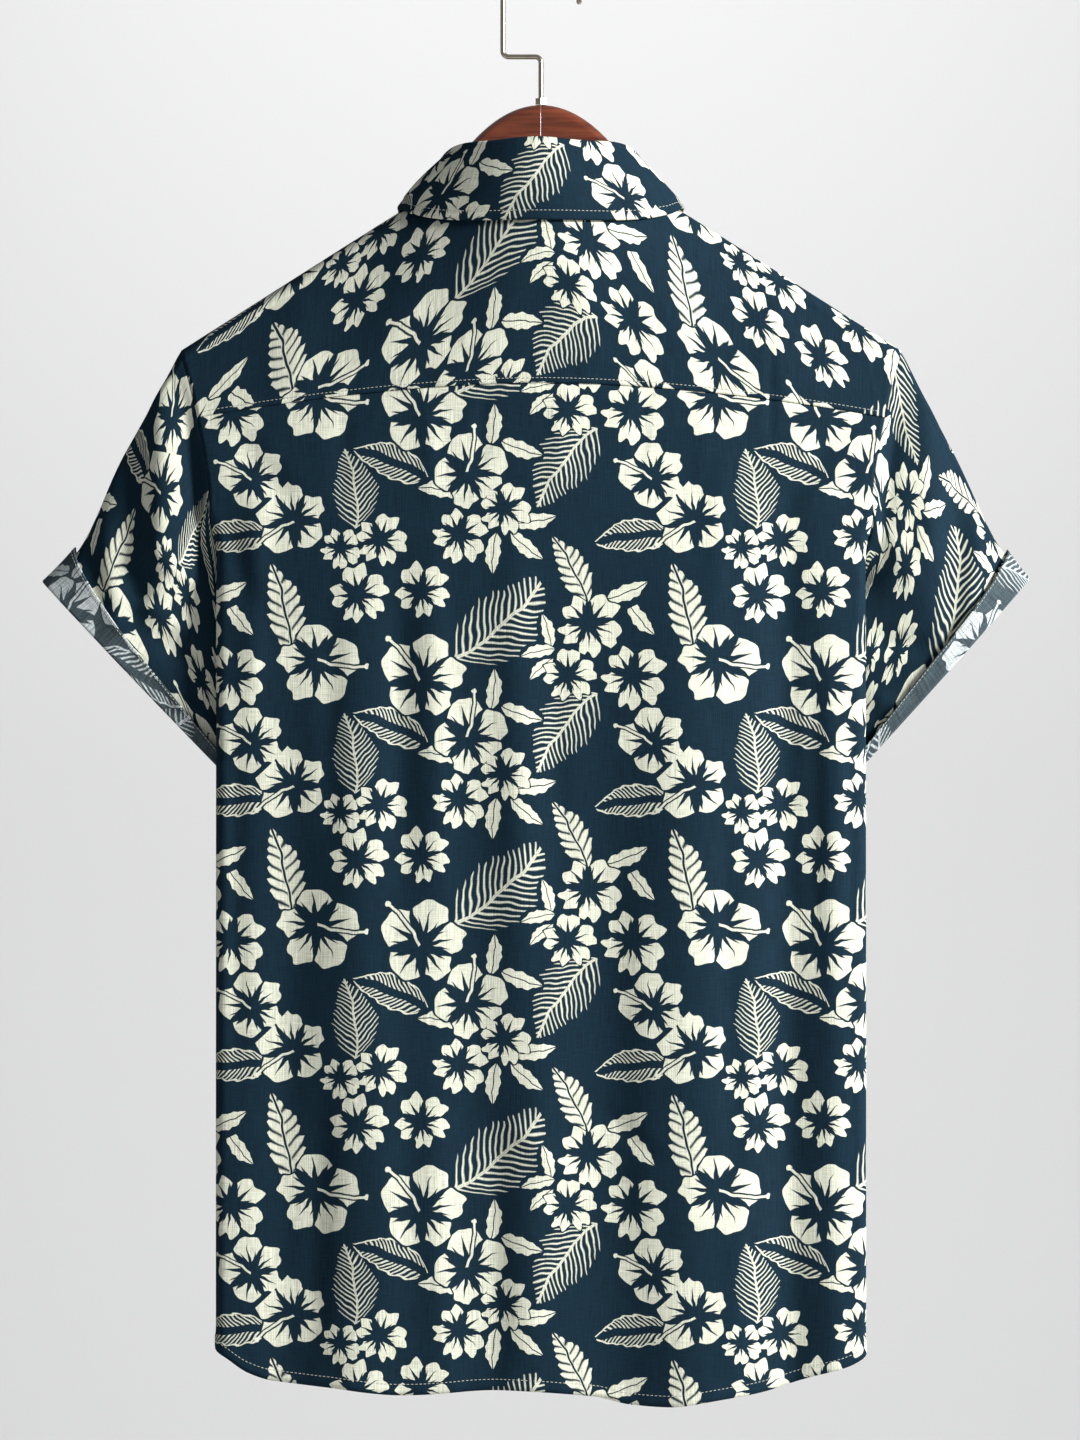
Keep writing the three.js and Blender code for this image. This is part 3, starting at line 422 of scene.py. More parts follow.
def stitches(name, lines, pitch, length, width, lift):
    """Short rounded stitches along paths with their normals: each is a low six-sided spindle, and their
    middles stand a pitch apart."""
    along = np.array([-0.5, -0.34, 0.0, 0.34, 0.5]) * length
    radius = np.array([0.12, 0.8, 1.0, 0.8, 0.12])[:, None, None] * width / 2
    turn = np.arange(6) * math.pi / 3
    across, high = np.cos(turn)[:, None], 0.7 * np.sin(turn)[:, None]
    sets = []
    for path, normal in lines:
        steps = travel(path)
        count = max(1, int(steps[-1] / pitch))
        where = ((np.arange(count) + 0.5) * steps[-1] / count)[:, None] + along

        def at(line, where=where, steps=steps):
            return np.stack([np.interp(where, steps, line[:, axis]) for axis in range(3)], -1)

        centre, up = at(path), unit(at(normal))
        side = unit(np.cross(unit(centre[:, -1:] - centre[:, :1]), up))
        ring = across * side[:, :, None] + high * up[:, :, None]
        sets.append((centre + up * lift)[:, :, None] + radius * ring)
    points = np.concatenate(sets)
    base = (np.arange(len(points)) * 30)[:, None, None]
    i = np.arange(6)
    quads = (grid_quads(5, 6, True)[None] + base).reshape(-1, 4).tolist()
    caps = (np.stack([i[::-1], 24 + i])[None] + base).reshape(-1, 6).tolist()
    mesh = bpy.data.meshes.new(name)
    mesh.from_pydata((points.reshape(-1, 3) * MM).tolist(), [], quads + caps)
    mesh.polygons.foreach_set("use_smooth", np.ones(len(mesh.polygons), bool))
    obj = add_object(name, mesh, "sewing_thread")
    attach(obj, "root")


def grid_line(points, normals, index, axis):
    """A row or column of a grid as a path with its normals."""
    return np.take(points, index, axis), np.take(normals, index, axis)


def hem_turning(points):
    """How far each point is from the hem, and one within the turned-up hem and zero above it."""
    to_hem = np.linalg.norm(points - points[-1:], axis=-1)
    hem = settings().hem_depth / MM
    return to_hem, 1 - smooth(to_hem, hem - HEM_SOFT[0], hem + HEM_SOFT[1])


def hem_stitches(name, points, normals, to_hem):
    row = int(np.argmin(np.abs(to_hem[:, points.shape[1] // 2] - settings().hem_depth / MM)))
    stitches(name, [grid_line(points, normals, row, 0)], **FINE)


class Nodes:
    """Short calls for building a node tree: each returns the output socket of a new node."""

    def __init__(self, tree):
        self.tree = tree

    def node(self, kind, inputs=(), out=0, **settings):
        made = self.tree.nodes.new(kind)
        for key, value in settings.items():
            setattr(made, key, value)
        for key, value in dict(inputs).items():
            if isinstance(value, bpy.types.NodeSocket):
                self.tree.links.new(value, made.inputs[key])
            else:
                made.inputs[key].default_value = value
        return made.outputs[out] if made.outputs else None

    def math(self, operation, *values, clamp=False):
        return self.node("ShaderNodeMath", enumerate(values), operation=operation, use_clamp=clamp)

    def vector(self, operation, *values, out=0):
        return self.node("ShaderNodeVectorMath", enumerate(values), operation=operation, out=out)

    def add(self, a, b):
        return self.math("ADD", a, b)

    def sub(self, a, b):
        return self.math("SUBTRACT", a, b)

    def mul(self, a, b):
        return self.math("MULTIPLY", a, b)

    def mad(self, a, b, c):
        return self.math("MULTIPLY_ADD", a, b, c)

    def least(self, *values):
        result = values[0]
        for value in values[1:]:
            result = self.math("MINIMUM", result, value)
        return result

    def most(self, *values):
        result = values[0]
        for value in values[1:]:
            result = self.math("MAXIMUM", result, value)
        return result

    def absolute(self, a):
        return self.math("ABSOLUTE", a)

    def split(self, v):
        made = self.tree.nodes.new("ShaderNodeSeparateXYZ")
        self.tree.links.new(v, made.inputs[0])
        return made.outputs

    def edge(self, value, width):
        """Zero below minus width, one above width."""
        limits = {0: value, 1: -width, 2: width}
        return self.node("ShaderNodeMapRange", limits, interpolation_type="SMOOTHSTEP")

    def mix_vector(self, factor, a, b):
        made = self.tree.nodes.new("ShaderNodeMix")
        made.data_type = "VECTOR"
        self.tree.links.new(factor, made.inputs[0])
        for key, value in ((4, a), (5, b)):
            self.tree.links.new(value, made.inputs[key])
        return made.outputs[1]

    def mix_color(self, factor, a, b, blend="MIX"):
        made = self.tree.nodes.new("ShaderNodeMix")
        made.data_type = "RGBA"
        made.blend_type = blend
        for key, value in ((0, factor), (6, a), (7, b)):
            if isinstance(value, bpy.types.NodeSocket):
                self.tree.links.new(value, made.inputs[key])
            else:
                made.inputs[key].default_value = value
        return made.outputs[2]


# The print's repeat and its motifs, in millimetres of flat cloth; angles in degrees
TILE = (246.0, 162.4)
# Flowers: x, y, radius, angle of the stamen, kind (0 large with a stamen, 1 small and notched)
FLOWERS = [
    (-74, -453, 27, 118, 0), (109, -441, 26, -17, 0), (68, -492, 21, 144, 0), (94, -518, 23, 204, 0),
    (-45, -488, 24, 72, 0), (29, -418, 20, 20, 1), (16, -450, 16.5, 60, 1), (56, -450, 20, 10, 1),
    (-23, -510, 16, 35, 1), (-50, -526, 17, 0, 1), (-74, -561, 17, 90, 1), (123, -534, 13, 15, 1),
    (147, -529, 16, 40, 1), (133, -563, 18, 70, 1),
]
# Leaves: x, y, half-length, angle, kind (0 palm frond, 1 ribbed, 2 fingered, 3 plain)
LEAVES = [
    (-23, -417, 38, 42, 0), (14, -484, 31, -127, 0), (131, -498, 25, 98, 0), (56, -528, 25, 186, 1),
    (154, -482, 26, 158, 1), (88, -409, 29, 102, 2), (19, -548, 24, 117, 2), (53, -399, 14, 22, 3),
    (61, -416, 13, -52, 3), (4, -423, 11, 104, 3), (-2, -436, 11, 192, 3), (0, -446, 10, 222, 3),
    (-29, -459, 13, 84, 3), (-12, -474, 14, -20, 3), (-4, -518, 14, 8, 3), (-9, -534, 13, -40, 3),
    (-29, -538, 13, -96, 3), (-62, -499, 14, 172, 3),
]
SMALL_LEAF = 15
CODE_SHARE = 1e-5


def windows(n, spot):
    """The flat cloth's place wrapped in four repeats, each shifted by half a repeat across or up."""
    made = {}
    for i in (0, 1):
        for j in (0, 1):
            low = (TILE[0] * (i - 1) / 2, TILE[1] * (j - 1) / 2, -1)
            high = (low[0] + TILE[0], low[1] + TILE[1], 1)
            made[i, j] = n.vector("WRAP", spot, high, low)
    return made


def nearest(n, places, motifs):
    """Local place of the nearest motif, turned to its own angle, in shares of its size, with its kind as z.
    Each motif is measured in the window that holds it nearest the middle, and a code of its kind and angle
    rides along in z, small enough not to change the distance."""
    best, best_length = None, None
    for x, y, size, angle, kind in motifs:
        x, y = (x + TILE[0] / 4) % TILE[0] - TILE[0] / 4, (y + TILE[1] / 4) % TILE[1] - TILE[1] / 4
        window = (int(x > TILE[0] / 4), int(y > TILE[1] / 4))
        code = (kind * 360 + angle % 360) * CODE_SHARE
        share, shift = (1 / size, 1 / size, 0), (-x / size, -y / size, code)
        local = n.vector("MULTIPLY_ADD", places[window], share, shift)
        length = n.vector("LENGTH", local, out=1)
        if best is None:
            best, best_length = local, length
            continue
        closer = n.math("LESS_THAN", length, best_length)
        best = n.mix_vector(closer, best, local)
        best_length = n.math("MINIMUM", length, best_length)
    turns = n.mul(n.split(best)[2], 1 / CODE_SHARE / 360)
    kind = n.math("FLOOR", n.add(turns, 0.001))
    angle = n.mul(n.sub(kind, turns), 2 * math.pi)
    turned = n.node("ShaderNodeVectorRotate", {0: best, 3: angle}, rotation_type="Z_AXIS")
    x, y, _ = n.split(turned)
    return n.node("ShaderNodeCombineXYZ", {0: x, 1: y, 2: kind})


def wobble(n, local, amount, scale):
    """Moves local places a little with smooth noise, so drawn edges look cut by hand."""
    noise = n.node(
        "ShaderNodeTexNoise", {"Vector": local, "Scale": scale, "Detail": 1.0}, out=1, noise_dimensions="2D"
    )
    shift = n.vector("MULTIPLY_ADD", noise, (amount, amount, 0), (-amount / 2, -amount / 2, 0))
    return n.vector("ADD", local, shift)


def flower_shape(n, places):
    """Five uneven petals in polar places, cut by gaps, tapering slits and a dark star, with a curved stamen.
    Returns how far a place is inside the cream drawing and inside the whole flower."""
    local = wobble(n, nearest(n, places, FLOWERS), 0.13, 2.6)
    x, y, kind = n.split(local)
    flat = n.vector("MULTIPLY", local, (1, 1, 0))
    r = n.vector("LENGTH", flat, out=1)
    turn = n.math("ARCTAN2", y, x)
    angle = n.add(turn, n.mul(n.math("SINE", n.add(turn, 1.9)), 0.22))
    petal = n.sub(n.math("FRACT", n.mad(angle, 5 / (2 * math.pi), 5.0)), 0.5)
    side = n.absolute(petal)
    ruffle = n.mul(n.math("SINE", n.mad(angle, 15.0, n.mul(r, 3.0))), n.mad(kind, 0.02, 0.026))
    notch = n.mul(n.math("COSINE", n.mul(petal, 4 * math.pi)), n.mul(kind, -0.085))
    uneven = n.mul(n.math("COSINE", n.add(turn, 0.9)), 0.1)
    reach = n.add(n.add(n.mad(n.mul(side, side), -1.15, 0.97), uneven), n.add(ruffle, notch))
    outline = n.sub(reach, r)
    arc = n.mul(r, 2 * math.pi / 5)
    narrow = n.mad(n.most(n.sub(0.75, r), 0.0), 0.2, 0.044)
    gap = n.sub(n.mul(n.sub(0.5, side), arc), narrow)
    third = n.sub(n.math("FRACT", n.mad(petal, 3.0, 0.5)), 0.5)
    slit_width = n.mad(r, n.mad(side, -0.08, -0.125), 0.102)
    slit = n.sub(n.mul(n.mul(n.absolute(third), arc), 1 / 3), slit_width)
    centre = n.sub(r, 0.15)
    bend = n.mul(n.mul(x, x), 0.15)
    stamen_y = n.absolute(n.sub(y, bend))
    past = n.least(n.sub(x, 0.0), n.sub(1.14, x))
    large = n.sub(0.5, kind)
    clear = n.sub(0.0, n.least(n.sub(0.072, stamen_y), past, large))
    rod = n.least(n.sub(0.033, stamen_y), past, large)
    tip_at = n.vector("SUBTRACT", flat, (1.16, 0.19, 0))
    tip = n.least(n.sub(0.068, n.vector("LENGTH", tip_at, out=1)), large)
    drawn = n.most(n.least(outline, gap, slit, centre, clear), rod, tip)
    return drawn, n.add(outline, 0.06)


def leaf_shape(n, places):
    """Slanting blades inside a lens: open and thin for a palm frond, inside a drawn outline for a ribbed
    leaf, broad for a fingered one, and a plain leaf has a dark slit. The kind blends these along one line."""
    small = nearest(n, places, [leaf for leaf in LEAVES if leaf[2] < SMALL_LEAF])
    large = nearest(n, places, [leaf for leaf in LEAVES if leaf[2] >= SMALL_LEAF])
    near = n.vector("LENGTH", n.vector("MULTIPLY", small, (1, 1.8, 0)), out=1)
    local = wobble(n, n.mix_vector(n.math("LESS_THAN", near, 1.05), large, small), 0.15, 2.1)
    x, y, kind = n.split(local)
    y = n.mul(y, n.mad(n.least(kind, 1.0), 0.65, 1.55))
    y = n.sub(y, n.mad(n.mul(x, x), 0.24, -0.08))
    side = n.absolute(y)
    end = n.mad(n.mul(x, x), -1.0, 1.0)
    lens = n.mul(end, n.mad(x, -0.16, 0.9))
    count = n.most(n.least(n.mad(kind, 0.9, 7.6), n.mad(kind, -4.5, 13.0)), 1.9)
    slant = n.mad(kind, -0.12, 0.62)
    place = n.mul(n.sub(x, n.mul(side, slant)), count)
    band = n.absolute(n.sub(n.math("FRACT", n.add(place, 8.0)), 0.5))
    cut_in = n.mul(n.least(n.absolute(n.sub(kind, 1.0)), 1.0), -0.46)
    ragged = n.mad(n.math("SINE", n.mul(place, 2.3)), 0.05, n.mad(band, cut_in, 0.96))
    inside = n.sub(n.mul(lens, ragged), side)
    share = n.math("DIVIDE", side, n.most(lens, 0.02))
    full = n.mad(n.mul(kind, kind), 0.055, 0.17)
    taper = n.mad(n.mul(share, share), n.mad(kind, 0.1, -0.5), 1.0)
    blade = n.mul(n.sub(n.mul(full, taper), band), 0.13)
    open_rib = n.mul(n.least(kind, n.sub(2.0, kind)), -0.22)
    blade = n.least(blade, n.add(side, open_rib))
    core = n.sub(n.mad(kind, n.mad(kind, 0.1, -0.17), 0.04), side)
    rim = n.sub(n.mad(n.mul(kind, n.sub(2.0, kind)), 0.11, -0.03), inside)
    rib = n.sub(side, n.mul(n.least(kind, 1.0), 0.06))
    return n.least(inside, n.most(blade, core, rim), rib)


def print_mask(n, uv):
    """How cream the print is at a place of the flat cloth: leaves, then flowers with a dark rim over them."""
    places = windows(n, n.vector("MULTIPLY", uv, (1000, 1000, 0)))
    flower, whole = flower_shape(n, places)
    leaf = leaf_shape(n, places)
    leaf_mask = n.mul(n.edge(leaf, 0.016), n.sub(1.0, n.edge(whole, 0.012)))
    return n.math("ADD", n.edge(flower, 0.01), leaf_mask, clamp=True)


def new_material(name):
    """Makes an empty node material and returns the short calls for it."""
    material = bpy.data.materials.new(name)
    material.use_nodes = True
    material.node_tree.nodes.clear()
    return Nodes(material.node_tree)


def threads(n, uv, across, up, detail, scale=1.0, dimensions="2D"):
    """Noise drawn out into threads by how fine it is across and up the cloth."""
    spot = n.vector("MULTIPLY", uv, (across, up, 0))
    inputs = {"Vector": spot, "Detail": detail, "Scale": scale}
    return n.node("ShaderNodeTexNoise", inputs, noise_dimensions=dimensions)


def cloth_material(name, ground, ink, reverse=False):
    """Printed plain weave: the print from the cloth's own UV map, upright slubs and a fine weave bump."""
    n = new_material(name)
    uv = n.node("ShaderNodeUVMap", uv_map="cloth")
    mask = print_mask(n, uv)
    slub = threads(n, uv, 1700, 60, 1.0)
    cross = threads(n, uv, 110, 2200, 0.0)
    weave = n.mad(slub, 0.65, n.mul(cross, 0.35))
    if reverse:
        heather = threads(n, uv, 2600, 320, 1.0, scale=5.0, dimensions="3D")
        weave = n.mad(heather, 0.6, n.mul(weave, 0.4))
    tone = n.mad(n.sub(weave, 0.5), 5.0 if reverse else 1.15, 1.0)
    color = n.vector("SCALE", n.mix_color(mask, ground, ink))
    n.tree.links.new(tone, color.node.inputs["Scale"])
    bump = n.node("ShaderNodeBump", {"Height": weave, "Strength": 0.35, "Distance": 0.00025})
    shader = n.node(
        "ShaderNodeBsdfPrincipled",
        {"Base Color": color, "Roughness": 0.82, "Normal": bump},
    )
    shader.node.inputs["Specular IOR Level"].default_value = 0.1
    n.node("ShaderNodeOutputMaterial", {0: shader})


def plain_material(name, tones, scale, roughness, metallic=0.0, stretch=(1, 1, 1), coat=0.0, bump=0.1):
    """A finish with two tones in soft noise along the object's own axes, and a slight bump."""
    n = new_material(name)
    place = n.node("ShaderNodeTexCoord", out=3)
    spot = n.vector("MULTIPLY", place, stretch)
    noise = n.node("ShaderNodeTexNoise", {"Vector": spot, "Scale": scale, "Detail": 4.0, "Roughness": 0.6})
    factor = n.node("ShaderNodeMapRange", {0: noise, 1: 0.36, 2: 0.64})
    tone = n.mix_color(factor, *(rgba(tone) for tone in tones))
    raised = n.node("ShaderNodeBump", {"Height": noise, "Strength": bump, "Distance": 0.0004})
    inputs = {"Base Color": tone, "Roughness": roughness, "Metallic": metallic, "Coat Weight": coat}
    shader = n.node("ShaderNodeBsdfPrincipled", {**inputs, "Normal": raised})
    shader.node.inputs["Coat Roughness"].default_value = 0.12
    n.node("ShaderNodeOutputMaterial", {0: shader})


def settings():
    return bpy.context.scene.shirt


def rgba(color):
    return (*color[:3], 1.0)


def color(name, text, value):
    return bpy.props.FloatVectorProperty(name=name, description=text, subtype="COLOR", default=value)


def size(name, text, value):
    return bpy.props.FloatProperty(name=name, description=text, unit="LENGTH", default=value)


class ShirtSettings(bpy.types.PropertyGroup):
    ground: color("Ground colour", "Colour of the cloth between the motifs", (0.005, 0.0195, 0.034))
    ink: color("Print colour", "Colour of the flowers and leaves", (0.66, 0.68, 0.56))
    back_ground: color("Wrong side ground", "Ground colour on the wrong side", (0.055, 0.078, 0.09))
    back_ink: color("Wrong side print", "Print colour on the wrong side", (0.5, 0.55, 0.56))
    thickness: size("Cloth thickness", "Thickness of the cloth", 0.0006)
    hem_depth: size("Hem depth", "Height of the hem's stitching above the edge", 0.006)


class HangerSettings(bpy.types.PropertyGroup):
    wood: color("Wood colour", "Main colour of the stained wood", (0.185, 0.04, 0.0125))
    wood_dark: color("Grain colour", "Colour of the darker grain", (0.085, 0.0155, 0.0055))
    wire_radius: size("Wire radius", "Radius of the hook's wire", 0.0016)


class SHIRT_OT_materials(bpy.types.Operator):
    """Make the cloth, thread, wood and metal finishes"""

    bl_idname = "shirt.materials"
    bl_label = "Finishes"

    def execute(self, context):
        s, h = context.scene.shirt, context.scene.hanger
        cloth_material("print_face", rgba(s.ground), rgba(s.ink))
        cloth_material("print_reverse", rgba(s.back_ground), rgba(s.back_ink), reverse=True)
        plain_material("sewing_thread", ((0.55, 0.56, 0.48), (0.42, 0.43, 0.37)), 900, 0.7)
        grain = {"stretch": (5, 9, 60), "coat": 0.9, "bump": 0.05}
        plain_material("stained_wood", (h.wood_dark, h.wood), 5, 0.3, **grain)
        nickel = ((0.6, 0.54, 0.42), (0.5, 0.45, 0.35))
        plain_material("bright_wire", nickel, 260, 0.24, metallic=1.0, bump=0.03)
        plain_material("navy_button", ((0.02, 0.03, 0.045), (0.035, 0.05, 0.07)), 90, 0.35, coat=0.4)
        return {"FINISHED"}


def cloth_piece(obj, nodes, outer="print_face", inner="print_reverse", thick=None):
    shell(obj, (thick or settings().thickness / MM), bpy.data.materials[outer], bpy.data.materials[inner])
    return stand_for(obj, nodes)


def panel_grid(side_levels, shares, face, top, bottom, halves):
    """A body panel: for each level down the side edge, shares of the way across to it; top and bottom give
    the heights that each share starts and ends at."""
    down = (side_levels[0] - side_levels) / (side_levels[0] - side_levels[-1])
    grids, uvs = [], []
    for side, across, start in halves(shares):
        edge = edge_at(side_levels, side, face)[:, None]
        s = start + (edge - start) * across[None, :]
        ratio = s / edge
        z = mix(top(ratio), bottom(ratio * side), down[:, None])
        point = body_point(s * np.ones_like(z), z, side, face)
        grids.append(point)
        uvs.append(np.stack([side * s * np.ones_like(z), z], -1))
    return grids, uvs


class SHIRT_OT_back(bpy.types.Operator):
    """Make the back panel, folded in at both sides, with its hem"""

    bl_idname = "shirt.back"
    bl_label = "Back panel"

    def execute(self, context):
        levels = runs(-287.0, (UNDERARM_Z, 83), (SIDE_HEM_Z, 115))
        across = runs(0, (0.7, 61), (0.87, 21), (1, 13))

        def halves(shares):
            return [(-1, shares[::-1], 0.0), (1, shares[1:], 0.0)]

        def top(ratio):
            return yoke_seam_z(ratio * YOKE_CORNER_X) + 4.0

        def bottom(ratio):
            return hem_z(ratio * LONG_EDGE)

        grids, uvs = panel_grid(levels, across, 1, top, bottom, halves)
        points, uv = np.concatenate(grids, 1), np.concatenate(uvs, 1)
        normals = grid_normals(points)
        under = smooth(points[..., 2], yoke_seam_z(points[..., 0]) - 1.5, yoke_seam_z(points[..., 0]) + 0.5)
        to_hem, turned = hem_turning(points)
        along = uv[..., 0]
        near_hem = np.exp(-(((to_hem - settings().hem_depth / MM) / 5) ** 2))
        ripple = HEM_RIPPLE * np.sin(along / 2.9 + 1.7 * np.sin(along / 31)) * near_hem
        points = points + normals * (HEM_RAISED[1] * turned + ripple - YOKE_LAP * under)[..., None]
        uv = uv * (-1, 1)
        obj = cloth_piece(add_mesh("back_panel_cloth", points, uv), ["back_panel"])
        hem_stitches("hem_back_stitches", points, grid_normals(points), to_hem)
        return {"FINISHED"}


def neck_spot(angle):
    """Across, height and girth of the neckline at an angle from the centre back."""
    x = NECK_HALF * np.sin(angle)
    c = np.cos(angle)
    side_z = ridge_z(NECK_HALF)
    z = side_z + np.where(c >= 0, NECK_BACK_Z - side_z, NECK_FRONT_Z - side_z) * c * c
    q = girth_of(ridge_z(x) - z)
    return x, np.where(c >= 0, q, -q)


def neck_angle_for(q):
    low, high = math.radians(90), math.radians(179)
    for _ in range(40):
        middle = (low + high) / 2
        if neck_spot(middle)[1] > q:
            low = middle
        else:
            high = middle
    return (low + high) / 2


def armhole_x(q):
    x = np.full_like(np.asarray(q, float), YOKE_CORNER_X)
    for _ in range(12):
        x = armhole_table(ridge_z(x) - drop_of(q))
    return x


BACK_CORNER_Q = float(girth_of(ridge_z(YOKE_CORNER_X) - yoke_seam_z(YOKE_CORNER_X)))


class SHIRT_OT_yoke(bpy.types.Operator):
    """Make the back yoke, which laps over both shoulders to the front"""

    bl_idname = "shirt.yoke"
    bl_label = "Yoke"

    def execute(self, context):
        corner = math.radians(58)
        arm_q = runs(FRONT_YOKE_Q, (-16, 13), (16, 33), (BACK_CORNER_Q, 21))
        share = np.interp(arm_q, np.array([*YOKE_SPACES, BACK_CORNER_Q]), even(0, 1, 12))
        angle = mix(neck_angle_for(FRONT_YOKE_Q), corner, share)
        seam_x = YOKE_CORNER_X * even(1, 0, 90)[1:]
        out_x = np.concatenate([armhole_x(arm_q), seam_x])
        out_q = np.concatenate([arm_q, girth_of(ridge_z(seam_x) - yoke_seam_z(seam_x))])
        angle = np.concatenate([angle, corner * even(1, 0, 90)[1:]])
        neck_x, neck_q = neck_spot(angle)
        across = even(0, 1, 72)[None, :]
        grids = []
        for side in (1, -1):
            x = mix(neck_x[:, None], out_x[:, None], across)
            q = mix(neck_q[:, None], out_q[:, None], across)
            grids.append((side * x, q * np.ones_like(x)))
        x = np.concatenate([grids[0][0], grids[1][0][-2::-1]])
        q = np.concatenate([grids[0][1], grids[1][1][-2::-1]])
        points = shoulder_point(x, q)
        normals = grid_normals(points)
        to_seam = np.abs(ridge_z(x) - drop_of(q) - yoke_seam_z(x)) + 999 * (q < 20)
        lip = 1 - smooth(to_seam, *LIP_FADE)
        pucker = YOKE_PUCKER * np.sin(x / 3.1 + 2 * np.sin(x / 27)) * np.exp(-((to_seam / 7) ** 2))
        to_front = (q + 40) + 999 * (q > 20)
        lip = lip + 1 - smooth(to_front, *LIP_FADE)
        points = points + normals * (YOKE_LIP * lip + pucker)[..., None]
        uv = np.stack([-x, -q - 31.0], -1)
        obj = cloth_piece(add_mesh("yoke_cloth", points, uv), ["yoke"])
        seam_x = even(-208, 208, 400)
        seam_q = girth_of(ridge_z(seam_x) - yoke_seam_z(seam_x)) - YOKE_STITCH_UP
        n = shoulder_normal(seam_x, seam_q)
        stitches("yoke_back_stitches", [(shoulder_point(seam_x, seam_q) + n * YOKE_LIP, n)], **FINE)
        return {"FINISHED"}


class SHIRT_OT_fronts(bpy.types.Operator):
    """Make both fronts, the placket and the buttons' finish"""

    bl_idname = "shirt.fronts"
    bl_label = "Fronts and placket"

    def execute(self, context):
        corner_x = float(armhole_x(np.array(FRONT_YOKE_Q)))
        seam_x = float(neck_spot(neck_angle_for(FRONT_YOKE_Q))[0])
        top_z = float(ridge_z(corner_x) - drop_of(FRONT_YOKE_Q))
        levels = runs(top_z, (UNDERARM_Z, 59), (SIDE_HEM_Z + FRONT_HEM_UP, 83))
        across = runs(0, (0.7, 53), (0.87, 17), (1, 9))

        def top(ratio):
            a = np.abs(ratio * corner_x)
            neck = mix(NECK_FRONT_Z, ridge_z(NECK_HALF), (a / NECK_HALF) ** 2)
            return np.where(a < seam_x, neck, ridge_z(a) - drop_of(FRONT_YOKE_Q))

        def bottom(ratio):
            return hem_z(ratio * LONG_EDGE) + FRONT_HEM_UP

        for side, name in ((1, "left"), (-1, "right")):

            def halves(shares, side=side):
                return [(side, shares, -OVERLAP)]

            grids, uvs = panel_grid(levels, across, -1, top, bottom, halves)
            points, uv = grids[0], uvs[0]
            if side < 0:
                points[..., 1] += UNDER_SET * (1 - smooth(-points[..., 0], OVERLAP, OVERLAP + UNDER_RUN))
            normals = grid_normals(points) * -side
            to_hem, turned = hem_turning(points)
            points = points + normals * (HEM_RAISED[-1] * turned)[..., None]
            obj = add_mesh(f"front_{name}_cloth", points, uv, flip=side > 0)
            cloth_piece(obj, [f"front_{name}"])
            hem_stitches(f"hem_front_{name}_stitches", points, normals, to_hem)
        self.placket()
        for i in range(len(BUTTON_HEIGHTS)):
            finish_node(f"button_{i + 1}", "navy_button", 0.0004, 2)
        return {"FINISHED"}

    def placket(self):
        """A band 30 mm wide on the left front, with a stitch line down both edges."""
        down = even(0, 1, 200)[:, None]
        x = even(-OVERLAP, OVERLAP, 25)[None, :]
        z = mix(NECK_FRONT_Z - 0.6, hem_z(x) + FRONT_HEM_UP, down)
        y = -depth_at(x * np.ones_like(z), ridge_z(x) - z, -1) - 1.35
        points = np.stack([x * np.ones_like(z), y, z], -1)
        edge = 1 - smooth(OVERLAP - np.abs(x), 0, 1.0)
        points[..., 1] += 0.5 * edge * np.ones_like(z)
        uv = np.stack([x * np.ones_like(z) + 61, z + 23], -1)
        obj = add_mesh("placket_cloth", points, uv, flip=True)
        cloth_piece(obj, ["placket"])
        normals = -grid_normals(points)
        edges = [grid_line(points, normals, column, 1) for column in (3, 21)]
        stitches("placket_stitches", edges, **FINE)
        holes = []
        for high in BUTTON_HEIGHTS:
            for x in (-BUTTONHOLE_HALF, BUTTONHOLE_HALF):
                z = even(high + BUTTONHOLE / 2, high - BUTTONHOLE / 2, 20)
                y = -depth_at(x * np.ones_like(z), ridge_z(x) - z, -1) - 1.4
                holes.append((np.stack([x * np.ones_like(z), y, z], -1), np.tile([0.0, -1.0, 0.0], (20, 1))))
        stitches("buttonhole_stitches", holes, **BUTTONHOLE_THREAD)


def armhole_ring(side):
    """Points and outward directions round the armhole: up the back edge, over the yoke and down the front."""
    low_z = ARMHOLE[-1][0]
    back_z = runs(UNDERARM_Z, (low_z, 5), (yoke_seam_z(YOKE_CORNER_X), 61))[1:-1]
    q = even(BACK_CORNER_Q, FRONT_YOKE_Q, 56)
    top_z = float(ridge_z(armhole_x(np.array(FRONT_YOKE_Q))) - drop_of(FRONT_YOKE_Q))
    front_z = runs(top_z, (low_z, 61), (UNDERARM_Z, 5))[1:-1]

    def body(z, face):
        s = edge_at(z, side, face)
        p = body_point(s, z, side, face)
        a = body_point(s + 0.5, z, side, face) - body_point(s - 0.5, z, side, face)
        b = body_point(s, z - 0.5, side, face) - body_point(s, z + 0.5, side, face)
        return p, unit(np.cross(a, b)) * side * face

    back, back_n = body(back_z, 1)
    front, front_n = body(front_z, -1)
    x = armhole_x(q) * side
    over, over_n = shoulder_point(x, q), shoulder_normal(x, q)
    under = np.array([[side * SIDE_SEAM_X, 0, UNDERARM_Z]])
    ring = np.concatenate([under, back, over, front])
    return ring, np.concatenate([[[side, 0, 0]], back_n, over_n, front_n])


